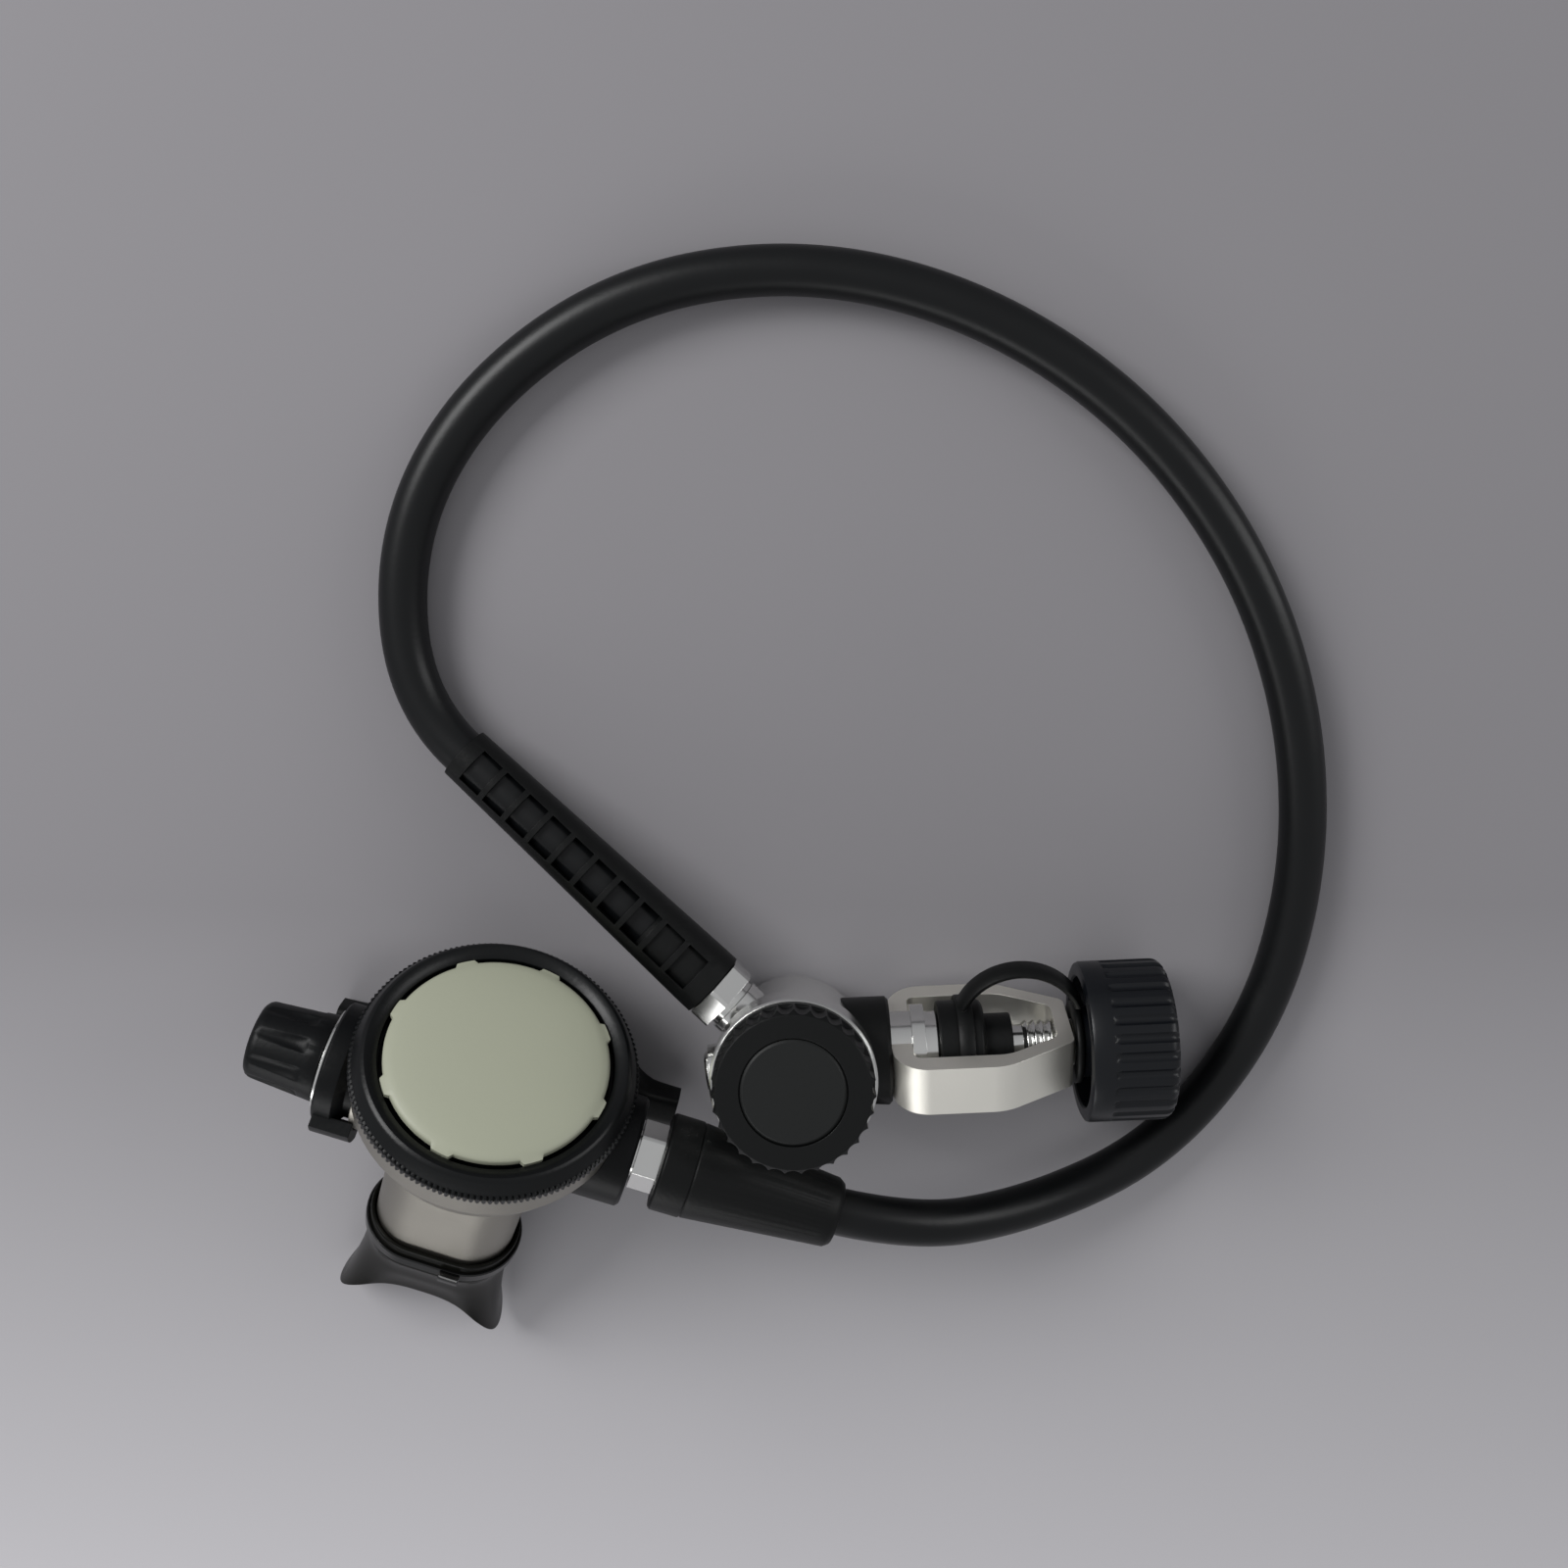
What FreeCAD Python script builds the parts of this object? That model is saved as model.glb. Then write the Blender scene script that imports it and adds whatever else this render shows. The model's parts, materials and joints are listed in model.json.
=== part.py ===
import FreeCAD, Part
import math
import os
import Sketcher
from FreeCAD import Placement, Rotation, Vector

# Scuba regulator set: a yoke first stage, a low pressure hose and a second stage with its mouthpiece.
# Millimetres, +Z up. The set lies on a table, whose top is Z = 0.
# The origin is under the middle of the two stages.

os.makedirs("parts", exist_ok=True)
doc = FreeCAD.newDocument("regulator_set")
sheet = doc.addObject("Spreadsheet::Sheet", "Sizes")

SIZES = {
    # Clearances
    "fit": 0.05,
    "gap": 0.3,
    # Where the first stage lies
    "first_stage_x": 19.95,
    "first_stage_y": 26.7,
    "yoke_yaw": 2.8,
    "body_lean": 12.8,
    # First stage body
    "rim_radius": 16.0,
    "rim_chamfer": 3.0,
    "body_radius": 18.6,
    "body_flange": 20.2,
    "body_flange_bottom": 20.0,
    "body_top": 24.0,
    "plug_bore": 8.0,
    "plug_bore_top": -12.0,
    "high_chamber": 6.0,
    "high_chamber_top": -1.0,
    "seat_bore": 5.0,
    "seat_top": 2.0,
    "mid_chamber": 8.0,
    "diaphragm_seat": 13.0,
    "diaphragm_recess": 17.2,
    "port_bore": 4.76,
    "port_boss": 7.2,
    "port_face": 21.0,
    "low_port_height": 7.3,
    "high_port_height": -6.0,
    "high_port_bore": 5.5,
    "hose_port_angle": 134.0,
    "left_plug_angle": 186.0,
    "right_plug_angle": 318.0,
    "high_plug_angle": 226.0,
    "plug_head": 5.6,
    "plug_head_height": 1.2,
    "plug_stem": 6.0,
    "plug_socket": 2.9,
    # First stage inner pieces
    "diaphragm_thickness": 1.2,
    "clamp_radius": 20.2,
    "clamp_flange_top": 30.5,
    "clamp_bore": 12.5,
    "clamp_tube": 15.0,
    "clamp_tube_top": 33.0,
    "lift_plate_radius": 9.9,
    "lift_plate_thickness": 1.6,
    "lift_pin_radius": 1.2,
    "lift_pin_head": 5.0,
    "main_spring_radius": 8.5,
    "main_spring_wire": 2.0,
    "main_spring_turns": 4.0,
    "adjusting_screw_bottom": 28.0,
    "adjusting_screw_height": 4.0,
    "adjusting_socket": 5.0,
    "seat_hole": 2.2,
    "poppet_radius": 3.6,
    "poppet_length": 7.0,
    "poppet_stem": 2.0,
    "poppet_stem_end": -14.0,
    "poppet_travel": 0.8,
    "poppet_spring_radius": 3.2,
    "poppet_spring_wire": 0.7,
    "poppet_spring_turns": 3.0,
    "ring_section": 0.75,
    # End cap
    "cap_radius": 19.4,
    "cap_bottom": 30.8,
    "cap_top": 40.0,
    "cap_wall": 3.4,
    "cap_roof": 4.0,
    "cap_flange": 1.2,
    "cap_scallops": 31,
    "scallop_radius": 2.3,
    "scallop_depth": 1.0,
    "disc_radius": 12.5,
    "disc_thickness": 1.0,
    # Yoke side of the first stage
    "boss_radius": 11.6,
    "boss_end": 24.6,
    "socket_radius": 8.0,
    "socket_bottom": 13.0,
    "inlet_bore": 3.0,
    "inlet_passage": 1.9,
    "inlet_drop": 3.2,
    "collar_radius": 13.8,
    "collar_start": 12.8,
    "yoke_plate": 5.25,
    "yoke_hole": 9.9,
    "yoke_half_height": 19.0,
    "yoke_half_gap": 13.75,
    "yoke_depth": 13.4,
    "yoke_roll": 68.0,
    "arm_end": 52.5,
    "yoke_end": 70.4,
    "window_end": 66.6,
    "yoke_tip": 9.5,
    "window_tip": 7.0,
    "retainer_head": 11.4,
    "retainer_head_height": 3.4,
    "nozzle_radius": 9.5,
    "nozzle_end": 36.9,
    "filter_pocket": 6.2,
    "filter_pocket_bottom": 28.0,
    # Yoke screw, knob and dust cap
    "screw_radius": 6.0,
    "screw_pitch": 2.0,
    "thread_depth": 0.8,
    "thread_turns": 9,
    "shank_radius": 5.0,
    "foot_radius": 5.0,
    "foot_start": 53.65,
    "foot_end": 58.5,
    "knob_start": 73.2,
    "knob_length": 21.7,
    "knob_radius": 20.4,
    "knob_recess": 16.6,
    "knob_recess_depth": 5.0,
    "knob_hub": 9.0,
    "knob_band": 5.6,
    "knob_grooves": 28,
    "groove_radius": 1.0,
    "groove_depth": 0.75,
    "dust_cap_radius": 12.0,
    "dust_cap_end": 48.5,
    "dust_cap_tip": 8.2,
    "dimple_depth": 2.0,
    "strap_thickness": 1.35,
    "strap_width": 7.0,
    "strap_ring_start": 41.5,
    "strap_ring_width": 4.0,
    "strap_arch_x": 57.6,
    "strap_arch_z": 6.6,
    "strap_arch_radius": 14.8,
    "strap_arch_thickness": 2.2,
    "strap_eye": 10.5,
    "strap_eye_thickness": 1.7,
    # Hose
    "hose_diameter": 11.8,
    "nut_start": 22.6,
    "nut_flats": 16.0,
    "nut_length": 5.2,
    "ferrule_radius": 7.4,
    "ferrule_end": 50.0,
    "sleeve_start": 28.2,
    "sleeve_end": 113.5,
    "sleeve_root_radius": 8.8,
    "sleeve_tip_radius": 6.95,
    "sleeve_windows": 10,
    "window_pitch": 7.76,
    "window_length": 6.2,
    "window_width": 9.4,
    "first_window": 33.4,
    # Where the second stage lies
    "second_stage_x": -51.05,
    "second_stage_y": 38.3,
    "seat_height": 13.98,
    "second_stage_yaw": 162.8,
    "second_stage_tilt": 57.1,
    "second_stage_roll": -1.64,
    # Second stage case
    "case_radius": 34.0,
    "case_front": -5.2,
    "case_shoulder": -14.0,
    "case_back": -38.0,
    "case_wall": 2.0,
    "ledge": -8.7,
    "rim_wall": 4.2,
    "barrel_y": 2.2,
    "barrel_z": -22.0,
    "boss_outer": 14.2,
    "lever_clearance": 0.3,
    "seat_plate_inset": 12.5,
    "seat_plate_z": -25.0,
    "exhaust_hole": 10.5,
    "exhaust_valve_radius": 12.0,
    "tube_x": 1.5,
    "tube_lean": 2.0,
    "tube_y": 12.3,
    "tube_half_width": 18.2,
    "tube_half_height": 12.0,
    "tube_length": 31.0,
    "tube_wall": 1.8,
    "tube_rise": 6.0,
    # Front of the second stage
    "ring_wall": 1.0,
    "ring_face": 6.6,
    "ring_back": -6.6,
    "purge_slot": 1.3,
    "purge_dome": 1.7,
    "purge_edge": -2.4,
    "purge_wall": 1.5,
    "purge_tabs": 8,
    "purge_tab_phase": -10.0,
    "purge_stem": 3.9,
    "purge_spring_wire": 0.7,
    "purge_spring_turns": 3.0,
    "plate_web": -7.5,
    "plate_web_thickness": 0.8,
    "plate_hole": 4.6,
    "diaphragm_bend": 12.8,
    "disc_plate_thickness": 0.8,
    # Demand valve barrel
    "barrel_radius": 7.0,
    "barrel_bore": 5.6,
    "barrel_inset": 6.0,
    "orifice_length": 4.0,
    "inlet_tube_radius": 6.0,
    "inlet_tube_reach": 7.5,
    "end_cover_radius": 13.85,
    "end_cover_reach": 4.5,
    "end_cover_length": 16.5,
    "valve_head": 4.2,
    "valve_stem": 2.2,
    "valve_stem_end": -2.0,
    "valve_spring_wire": 0.8,
    "valve_spring_turns": 5.0,
    "piston_start": 9.7,
    "piston_length": 6.3,
    "piston_stem": 3.0,
    "piston_stem_reach": 5.3,
    "hub_radius": 9.0,
    "collar_inset": 3.6,
    "collar_length": 9.1,
    "lever_radius": 15.0,
    "lever_neck_radius": 12.2,
    "lever_neck_length": 2.0,
    "lever_shoulder_gap": 0.6,
    "lever_tab_reach": 17.6,
    "lever_tab_width": 13.0,
    "lever_tab_angle": 152.0,
    "vane_sleeve": 7.9,
    "vane_start": 6.0,
    "vane_reach": 12.6,
    "adjuster_flange": 12.7,
    "inhalation_knob_gap": 1.2,
    "inhalation_knob_length": 18.4,
    "inhalation_knob_radius": 11.0,
    "finger_grooves": 9,
    "lever_x": -16.0,
    "lever_bend_z": -14.6,
    "lever_foot_z": -25.2,
    "lever_reach": 17.5,
    "lever_width": 9.0,
    "lever_sheet": 1.0,
    # Swivel and boot
    "swivel_gap": 0.7,
    "swivel_flats": 15.5,
    "swivel_flats_length": 6.2,
    "swivel_round": 7.7,
    "swivel_collar": 7.6,
    "swivel_ferrule_length": 23.0,
    "boot_gap": 0.2,
    "boot_overlap": 16.0,
    "boot_root_radius": 12.2,
    "boot_tip_radius": 8.8,
    "boot_seam": 8.0,
    "boot_run": 32.0,
    # Exhaust tee
    "tee_half_width": 46.5,
    "tee_wing": 34.0,
    "tee_wall": 1.6,
    "tee_mouth": 13.0,
    "tee_twist": 2.2,
    # Mouthpiece
    "tube_cover": 7.5,
    "mouth_sleeve_wall": 1.2,
    "mouth_bead": 1.7,
    "neck_run": 8.0,
    "mouth_end": 70.5,
    "mouth_half_width": 23.0,
    "mouth_half_height": 8.6,
    "mouth_hollow_radius": 21.6,
    "mouth_hollow_depth": 48.0,
    "bite_tab_length": 12.0,
    "tie_width": 3.2,
    "tie_thickness": 0.6,
}


class Size:
    """A length that keeps the sheet expression it was worked out from."""

    def __init__(self, text, value):
        self.text = text
        self.value = float(value)

    def join(self, sign, other, value):
        return Size(f"({self.text} {sign} {other.text})", value)

    def __add__(self, other):
        other = size(other)
        return self.join("+", other, self.value + other.value)

    def __sub__(self, other):
        other = size(other)
        return self.join("-", other, self.value - other.value)

    def __mul__(self, other):
        other = size(other)
        return self.join("*", other, self.value * other.value)

    def __truediv__(self, other):
        other = size(other)
        return self.join("/", other, self.value / other.value)

    def __radd__(self, other):
        return size(other) + self

    def __rsub__(self, other):
        return size(other) - self

    def __rmul__(self, other):
        return size(other) * self

    def __neg__(self):
        return size(0) - self


def size(number):
    return number if isinstance(number, Size) else Size(f"({number})", number)


def sine(angle):
    return Size(f"sin({angle.text} * 1 deg)", math.sin(math.radians(angle.value)))


def cosine(angle):
    return Size(f"cos({angle.text} * 1 deg)", math.cos(math.radians(angle.value)))


class Sheet:
    """The sizes by name, each tied to its cell."""


s = Sheet()
for row, (name, number) in enumerate(SIZES.items(), start=1):
    sheet.set(f"A{row}", name)
    sheet.set(f"B{row}", str(number))
    sheet.setAlias(f"B{row}", name)
    setattr(s, name, Size(f"Sizes.{name}", number))
doc.recompute()

# Sizes that follow others: the front of the second stage and its barrel keep to the case,
# and the second stage stands on its tee, with the exhaust seat at its height above the table.

s.inner_radius = s.case_radius - s.case_wall
s.ledge_radius = s.case_radius - s.rim_wall
s.ring_radius = s.case_radius + s.ring_wall
s.ring_bore = s.ring_radius - s.ring_face
s.purge_radius = s.ring_bore - s.purge_slot
s.disc_plate_radius = s.ledge_radius - s.diaphragm_bend
s.seat_plate_y = s.seat_plate_inset - s.case_radius
seat_drop = (
    s.seat_plate_y * cosine(s.second_stage_roll) * sine(s.second_stage_tilt)
    + s.seat_plate_z * cosine(s.second_stage_tilt)
)
s.second_stage_z = s.seat_height - seat_drop
s.collar_start_x = s.case_radius - s.collar_inset
s.collar_end_x = s.collar_start_x + s.collar_length
s.boss_reach = s.collar_start_x - s.lever_clearance
s.lever_neck_end = s.collar_start_x + s.lever_neck_length
s.lever_shoulder = s.case_radius + s.lever_shoulder_gap
s.inhalation_knob_start = s.collar_end_x + s.inhalation_knob_gap
s.piston_stem_end = s.inhalation_knob_start + s.piston_stem_reach
s.barrel_start = s.barrel_inset - s.case_radius
s.end_cover_start = -(s.case_radius + s.end_cover_reach)
s.end_cover_end = s.end_cover_start + s.end_cover_length
s.inlet_tube_end = s.end_cover_start - s.inlet_tube_reach
s.swivel_start = s.end_cover_start - s.swivel_gap
s.swivel_flats_end = s.swivel_start - s.swivel_flats_length
s.swivel_end = s.swivel_flats_end - s.swivel_collar
s.hose_seat = s.swivel_end - s.swivel_ferrule_length
s.boot_start = s.swivel_flats_end - s.boot_gap
s.boot_end = s.hose_seat - s.boot_overlap
s.boot_corner = s.boot_run - s.hose_seat
s.mouth_sleeve_start = s.tube_length - s.tube_cover
s.mouth_bead_end = s.tube_length + s.mouth_bead
s.mouth_neck = s.tube_length + s.neck_run


# Ways of making a piece

pieces = []


def bind(item, **values):
    for name, value in values.items():
        value = size(value)
        item.setExpression(name.replace("__", "."), value.text)


def place(item, x=0, y=0, z=0, turn=None):
    """Puts a primitive at a point of its piece, with an optional rotation."""
    if turn is not None:
        item.Placement = Placement(Vector(), turn)
    bind(item, Placement__Base__x=x, Placement__Base__y=y, Placement__Base__z=z)
    return item


ALONG_X = Rotation(Vector(0, 1, 0), 90)
ALONG_Y = Rotation(Vector(1, 0, 0), -90)


def cylinder(radius, height, x=0, y=0, z=0, turn=None):
    item = doc.addObject("Part::Cylinder", "cylinder")
    bind(item, Radius=radius, Height=height)
    return place(item, x, y, z, turn)


def box(length, width, height, x=0, y=0, z=0, turn=None):
    item = doc.addObject("Part::Box", "box")
    bind(item, Length=length, Width=width, Height=height)
    return place(item, x, y, z, turn)


def torus(ring, section, z):
    item = doc.addObject("Part::Torus", "torus")
    bind(item, Radius1=ring, Radius2=section)
    return place(item, z=z)


def hexagon(flats, height, z):
    item = doc.addObject("Part::Prism", "hexagon")
    item.Polygon = 6
    bind(item, Circumradius=size(flats) / math.sqrt(3), Height=height)
    return place(item, z=z)


def fuse(*items):
    item = doc.addObject("Part::MultiFuse", "fuse")
    item.Shapes = list(items)
    return item


def cut(base, *tools):
    for tool in tools:
        item = doc.addObject("Part::Cut", "cut")
        item.Base = base
        item.Tool = tool
        base = item
    return base


def common(first, second):
    item = doc.addObject("Part::MultiCommon", "common")
    item.Shapes = [first, second]
    return item


def group(*items):
    item = doc.addObject("Part::Compound", "group")
    item.Links = list(items)
    return item


def origin_feature(body, role):
    return next(item for item in body.Origin.OriginFeatures if item.Role == role)


def outline(body, role, corners, height=None):
    """A closed sketch of straight sides on one of the body's planes, each corner tied to the sheet."""
    sketch = body.newObject("Sketcher::SketchObject", "outline")
    sketch.AttachmentSupport = [(origin_feature(body, role), "")]
    sketch.MapMode = "FlatFace"
    if height is not None:
        bind(sketch, AttachmentOffset__Base__z=height)
    corners = [(size(across), size(along)) for across, along in corners]
    count = len(corners)
    for number, (across, along) in enumerate(corners):
        after = corners[(number + 1) % count]
        start = Vector(across.value, along.value, 0)
        end = Vector(after[0].value, after[1].value, 0)
        sketch.addGeometry(Part.LineSegment(start, end), False)
    for number in range(count):
        sketch.addConstraint(Sketcher.Constraint("Coincident", number, 2, (number + 1) % count, 1))
    for number, corner in enumerate(corners):
        for kind, value in zip(("DistanceX", "DistanceY"), corner):
            index = sketch.addConstraint(Sketcher.Constraint(kind, number, 1, value.value))
            sketch.setExpression(f"Constraints[{index}]", value.text)
    return sketch


def turned(corners):
    """A body turned about Z from corners given as (radius, height)."""
    body = doc.addObject("PartDesign::Body", "turned")
    sketch = outline(body, "XZ_Plane", corners)
    feature = body.newObject("PartDesign::Revolution", "turn")
    feature.Profile = sketch
    feature.ReferenceAxis = (sketch, ["V_Axis"])
    feature.Angle = 360
    return body


def prism(corners, bottom, top):
    """A body with straight sides along Z, from corners given as (x, y)."""
    body = doc.addObject("PartDesign::Body", "prism")
    sketch = outline(body, "XY_Plane", corners, bottom)
    feature = body.newObject("PartDesign::Pad", "pad")
    feature.Profile = sketch
    bind(feature, Length=size(top) - bottom)
    return body


def rounded(body, radius, is_edge):
    """Rounds the edges of a body that is_edge picks."""
    doc.recompute()
    tip = body.Tip
    names = [f"Edge{n}" for n, edge in enumerate(tip.Shape.Edges, start=1) if is_edge(edge)]
    feature = body.newObject("PartDesign::Fillet", "rounding")
    feature.Base = (tip, names)
    bind(feature, Radius=radius)
    return body


def circle_at(radius, height):
    """Picks the full circles about Z at a radius and height."""

    def is_edge(edge):
        if not isinstance(edge.Curve, Part.Circle):
            return False
        centre = edge.Curve.Center
        near_axis = math.hypot(centre.x, centre.y) < 0.01
        same = abs(edge.Curve.Radius - size(radius).value) < 0.01
        return near_axis and same and abs(centre.z - size(height).value) < 0.01

    return is_edge


def flute(body, count, radius, distance, top, depth):
    """Cuts a ring of round flutes down from the top of a body, parallel to Z."""
    sketch = body.newObject("Sketcher::SketchObject", "flute_outline")
    sketch.AttachmentSupport = [(origin_feature(body, "XY_Plane"), "")]
    sketch.MapMode = "FlatFace"
    bind(sketch, AttachmentOffset__Base__z=top)
    radius, distance = size(radius), size(distance)
    sketch.addGeometry(Part.Circle(Vector(distance.value, 0, 0), Vector(0, 0, 1), radius.value), False)
    sketch.addConstraint(Sketcher.Constraint("PointOnObject", 0, 3, -1))
    across = sketch.addConstraint(Sketcher.Constraint("DistanceX", 0, 3, distance.value))
    sketch.setExpression(f"Constraints[{across}]", distance.text)
    wide = sketch.addConstraint(Sketcher.Constraint("Radius", 0, radius.value))
    sketch.setExpression(f"Constraints[{wide}]", radius.text)
    feature = body.newObject("PartDesign::Pocket", "flute")
    feature.Profile = sketch
    bind(feature, Length=depth)
    ring = body.newObject("PartDesign::PolarPattern", "flutes")
    ring.Originals = [feature]
    ring.Axis = (origin_feature(body, "Z_Axis"), [""])
    ring.Angle = 360
    bind(ring, Occurrences=count)
    body.Tip = ring
    return body


def oval(half_width, half_height, bottom, top):
    """A bar with a long round section, wide along X."""
    half_width, half_height = size(half_width), size(half_height)
    side = half_width - half_height
    height = size(top) - bottom
    return fuse(
        cylinder(half_height, height, x=side, z=bottom),
        cylinder(half_height, height, x=-side, z=bottom),
        box(side * 2, half_height * 2, height, x=-side, y=-half_height, z=bottom),
    )


def ellipse(half_width, half_height, z):
    item = doc.addObject("Part::Ellipse", "ellipse")
    bind(item, MajorRadius=half_width, MinorRadius=half_height)
    return place(item, z=z)


def loft(*sections):
    item = doc.addObject("Part::Loft", "loft")
    item.Sections = list(sections)
    item.Solid = True
    item.Ruled = True
    return item


def joined_arcs(points):
    """Straight runs joined by tangent arcs, each as large as its two runs allow. Prints the radii."""
    edges = []
    last = points[0]
    radii = []
    for before, corner, after in zip(points, points[1:], points[2:]):
        back = (before - corner).normalize()
        ahead = (after - corner).normalize()
        run = min(before.distanceToPoint(corner), after.distanceToPoint(corner))
        reach = 0.45 * run
        half_turn = (math.pi - back.getAngle(ahead)) / 2
        radii.append(reach / math.tan(half_turn))
        start = corner + back * reach
        end = corner + ahead * reach
        middle = corner + (back + ahead).normalize() * radii[-1] * (1 / math.cos(half_turn) - 1)
        edges.append(Part.LineSegment(last, start).toShape())
        edges.append(Part.Arc(start, middle, end).toShape())
        last = end
    edges.append(Part.LineSegment(last, points[-1]).toShape())
    print("hose radii", [round(radius, 1) for radius in radii])
    return Part.Wire(edges)


def tube_along(path, radius):
    start = path.Edges[0].valueAt(path.Edges[0].FirstParameter)
    along = path.Edges[0].tangentAt(path.Edges[0].FirstParameter)
    section = Part.Wire(Part.Circle(start, along, radius).toShape())
    return path.makePipeShell([section], True, False)


def half_arc(start, knee, end):
    """One arc from start to end, tangent to the two equal legs that meet at the knee."""
    middle = (start + end) * 0.5
    leg = start.distanceToPoint(knee)
    half = start.distanceToPoint(end) / 2
    rise = knee.distanceToPoint(middle)
    bend = math.acos(min(1.0, half / leg))
    arc_rise = half / math.sin(bend) * (1 - math.cos(bend))
    return Part.Arc(start, middle + (knee - middle) * (arc_rise / rise), end).toShape()


def coil(name, radius, wire, bottom, top, turns):
    """A round wire spring about Z between two heights, wound on pairs of tangent arcs a quarter turn long."""
    radius, wire, turns = radius.value, size(wire).value, turns.value
    low, high = size(bottom).value + wire / 2, size(top).value - wire / 2
    steps = int(round(turns * 4))
    climb = (high - low) / steps
    quarter = math.pi / 2

    def at(step):
        angle = step * quarter
        point = Vector(radius * math.cos(angle), radius * math.sin(angle), low + climb * step)
        along = Vector(-radius * math.sin(angle) * quarter, radius * math.cos(angle) * quarter, climb)
        return point, along.normalize()

    edges = []
    for step in range(steps):
        start, start_along = at(step)
        end, end_along = at(step + 1)
        chord = end - start
        both = start_along + end_along
        square = both.dot(both) - 4
        cross = -2 * chord.dot(both)
        leg = (-cross - math.sqrt(cross * cross - 4 * square * chord.dot(chord))) / (2 * square)
        first_knee = start + start_along * leg
        second_knee = end - end_along * leg
        meeting = (first_knee + second_knee) * 0.5
        edges.append(half_arc(start, first_knee, meeting))
        edges.append(half_arc(meeting, second_knee, end))
    item = doc.addObject("Part::Feature", name)
    item.Shape = tube_along(Part.Wire(edges), wire / 2)
    print(name, "least gap between turns", round(climb * 4 - wire, 2))
    return item


def moved(item, frame):
    """Puts a finished shape in another frame of the same piece."""
    holder = doc.addObject("Part::Compound", "held")
    holder.Links = [item]
    holder.Placement = frame
    return holder


def piece(name, item, frame):
    """Names a finished piece and puts it in its place on the table."""
    item.Label = name
    item.Placement = frame
    pieces.append(item)
    return item


# Frames: the first stage lies on its rim and the yoke knob, so its axis is a knob radius above the table.

FIRST = (
    Placement(Vector(s.first_stage_x.value, s.first_stage_y.value, s.knob_radius.value), Rotation())
    * Placement(Vector(), Rotation(Vector(0, 0, 1), s.yoke_yaw.value))
    * Placement(Vector(), Rotation(Vector(1, 0, 0), -s.body_lean.value))
)
YOKE_AXIS = FIRST * Placement(Vector(), ALONG_X)
YOKE = FIRST * Placement(Vector(), Rotation(Vector(1, 0, 0), -s.yoke_roll.value))


def port_frame(angle, height):
    """Z runs out of the port, and X points to the foot of the first stage."""
    around = Placement(Vector(0, 0, height.value), Rotation(Vector(0, 0, 1), angle.value))
    return FIRST * around * Placement(Vector(), ALONG_X)


HOSE_PORT = port_frame(s.hose_port_angle, s.low_port_height)

# The second stage's frame is the one it has in use: X to the knob, Y up, Z out of the purge cover.

SECOND = (
    Placement(Vector(s.second_stage_x.value, s.second_stage_y.value, s.second_stage_z.value), Rotation())
    * Placement(Vector(), Rotation(Vector(0, 0, 1), s.second_stage_yaw.value))
    * Placement(Vector(), Rotation(Vector(1, 0, 0), s.second_stage_tilt.value))
    * Placement(Vector(), Rotation(Vector(0, 0, 1), s.second_stage_roll.value))
)
BARREL = SECOND * Placement(Vector(0, s.barrel_y.value, s.barrel_z.value), ALONG_X)
EXHAUST_IN_CASE = Placement(
    Vector(0, s.seat_plate_y.value, s.seat_plate_z.value),
    Rotation(Vector(1, 0, 0), 180 - s.second_stage_tilt.value),
)
EXHAUST = SECOND * EXHAUST_IN_CASE
MOUTH_IN_CASE = Placement(
    Vector(s.tube_x.value, s.tube_y.value, s.case_back.value + s.case_wall.value),
    Rotation(Vector(1, 0, 0), 180 + s.tube_rise.value) * Rotation(Vector(0, 1, 0), s.tube_lean.value),
)
MOUTH = SECOND * MOUTH_IN_CASE


# First stage body: turned brass, chromed, with bosses for the yoke and the ports and bores for the valve

base = (s.knob_radius - s.rim_radius * sine(s.body_lean)) / cosine(s.body_lean)
shell = turned([
    (0, -base),
    (s.rim_radius, -base),
    (s.body_radius - 0.8, s.rim_chamfer - base),
    (s.body_radius, s.rim_chamfer + 5 - base),
    (s.body_radius, s.body_flange_bottom - 1.2),
    (s.body_flange, s.body_flange_bottom),
    (s.body_flange, s.body_top),
    (0, s.body_top),
])
bores = turned([
    (0, -base - 1),
    (s.plug_bore, -base - 1),
    (s.plug_bore, s.plug_bore_top),
    (s.high_chamber, s.plug_bore_top),
    (s.high_chamber, s.high_chamber_top),
    (s.seat_bore, s.high_chamber_top),
    (s.seat_bore, s.seat_top),
    (s.mid_chamber, s.seat_top),
    (s.mid_chamber, s.diaphragm_seat),
    (s.diaphragm_recess, s.diaphragm_seat),
    (s.diaphragm_recess, s.body_top + 1),
    (0, s.body_top + 1),
])


def radial(radius, start, end, angle, height):
    """A round bar that runs outwards from the first stage's axis."""
    start, end = size(start), size(end)
    turn = Rotation(Vector(0, 0, 1), angle.value) * ALONG_X
    bar = cylinder(radius, end - start, turn=turn)
    return place(bar, x=start * cosine(angle), y=start * sine(angle), z=height, turn=turn)


low_port_angles = (s.hose_port_angle, s.left_plug_angle, s.right_plug_angle)
bosses = [
    radial(s.port_boss, s.mid_chamber, s.port_face, angle, s.low_port_height)
    for angle in low_port_angles
]
bosses.append(radial(s.port_boss, s.mid_chamber, s.port_face, s.high_plug_angle, s.high_port_height))
bosses.append(cylinder(s.boss_radius, s.boss_end - s.high_chamber, x=s.high_chamber, turn=ALONG_X))
ports = [
    radial(s.port_bore, s.high_chamber, s.port_face + 1, angle, s.low_port_height)
    for angle in low_port_angles
]
high_start = s.high_chamber - 2
ports.append(radial(s.high_port_bore, high_start, s.port_face + 1, s.high_plug_angle, s.high_port_height))
ports.append(radial(s.plug_head + s.gap, s.port_face, s.port_face + 6, s.right_plug_angle, s.low_port_height))
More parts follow.
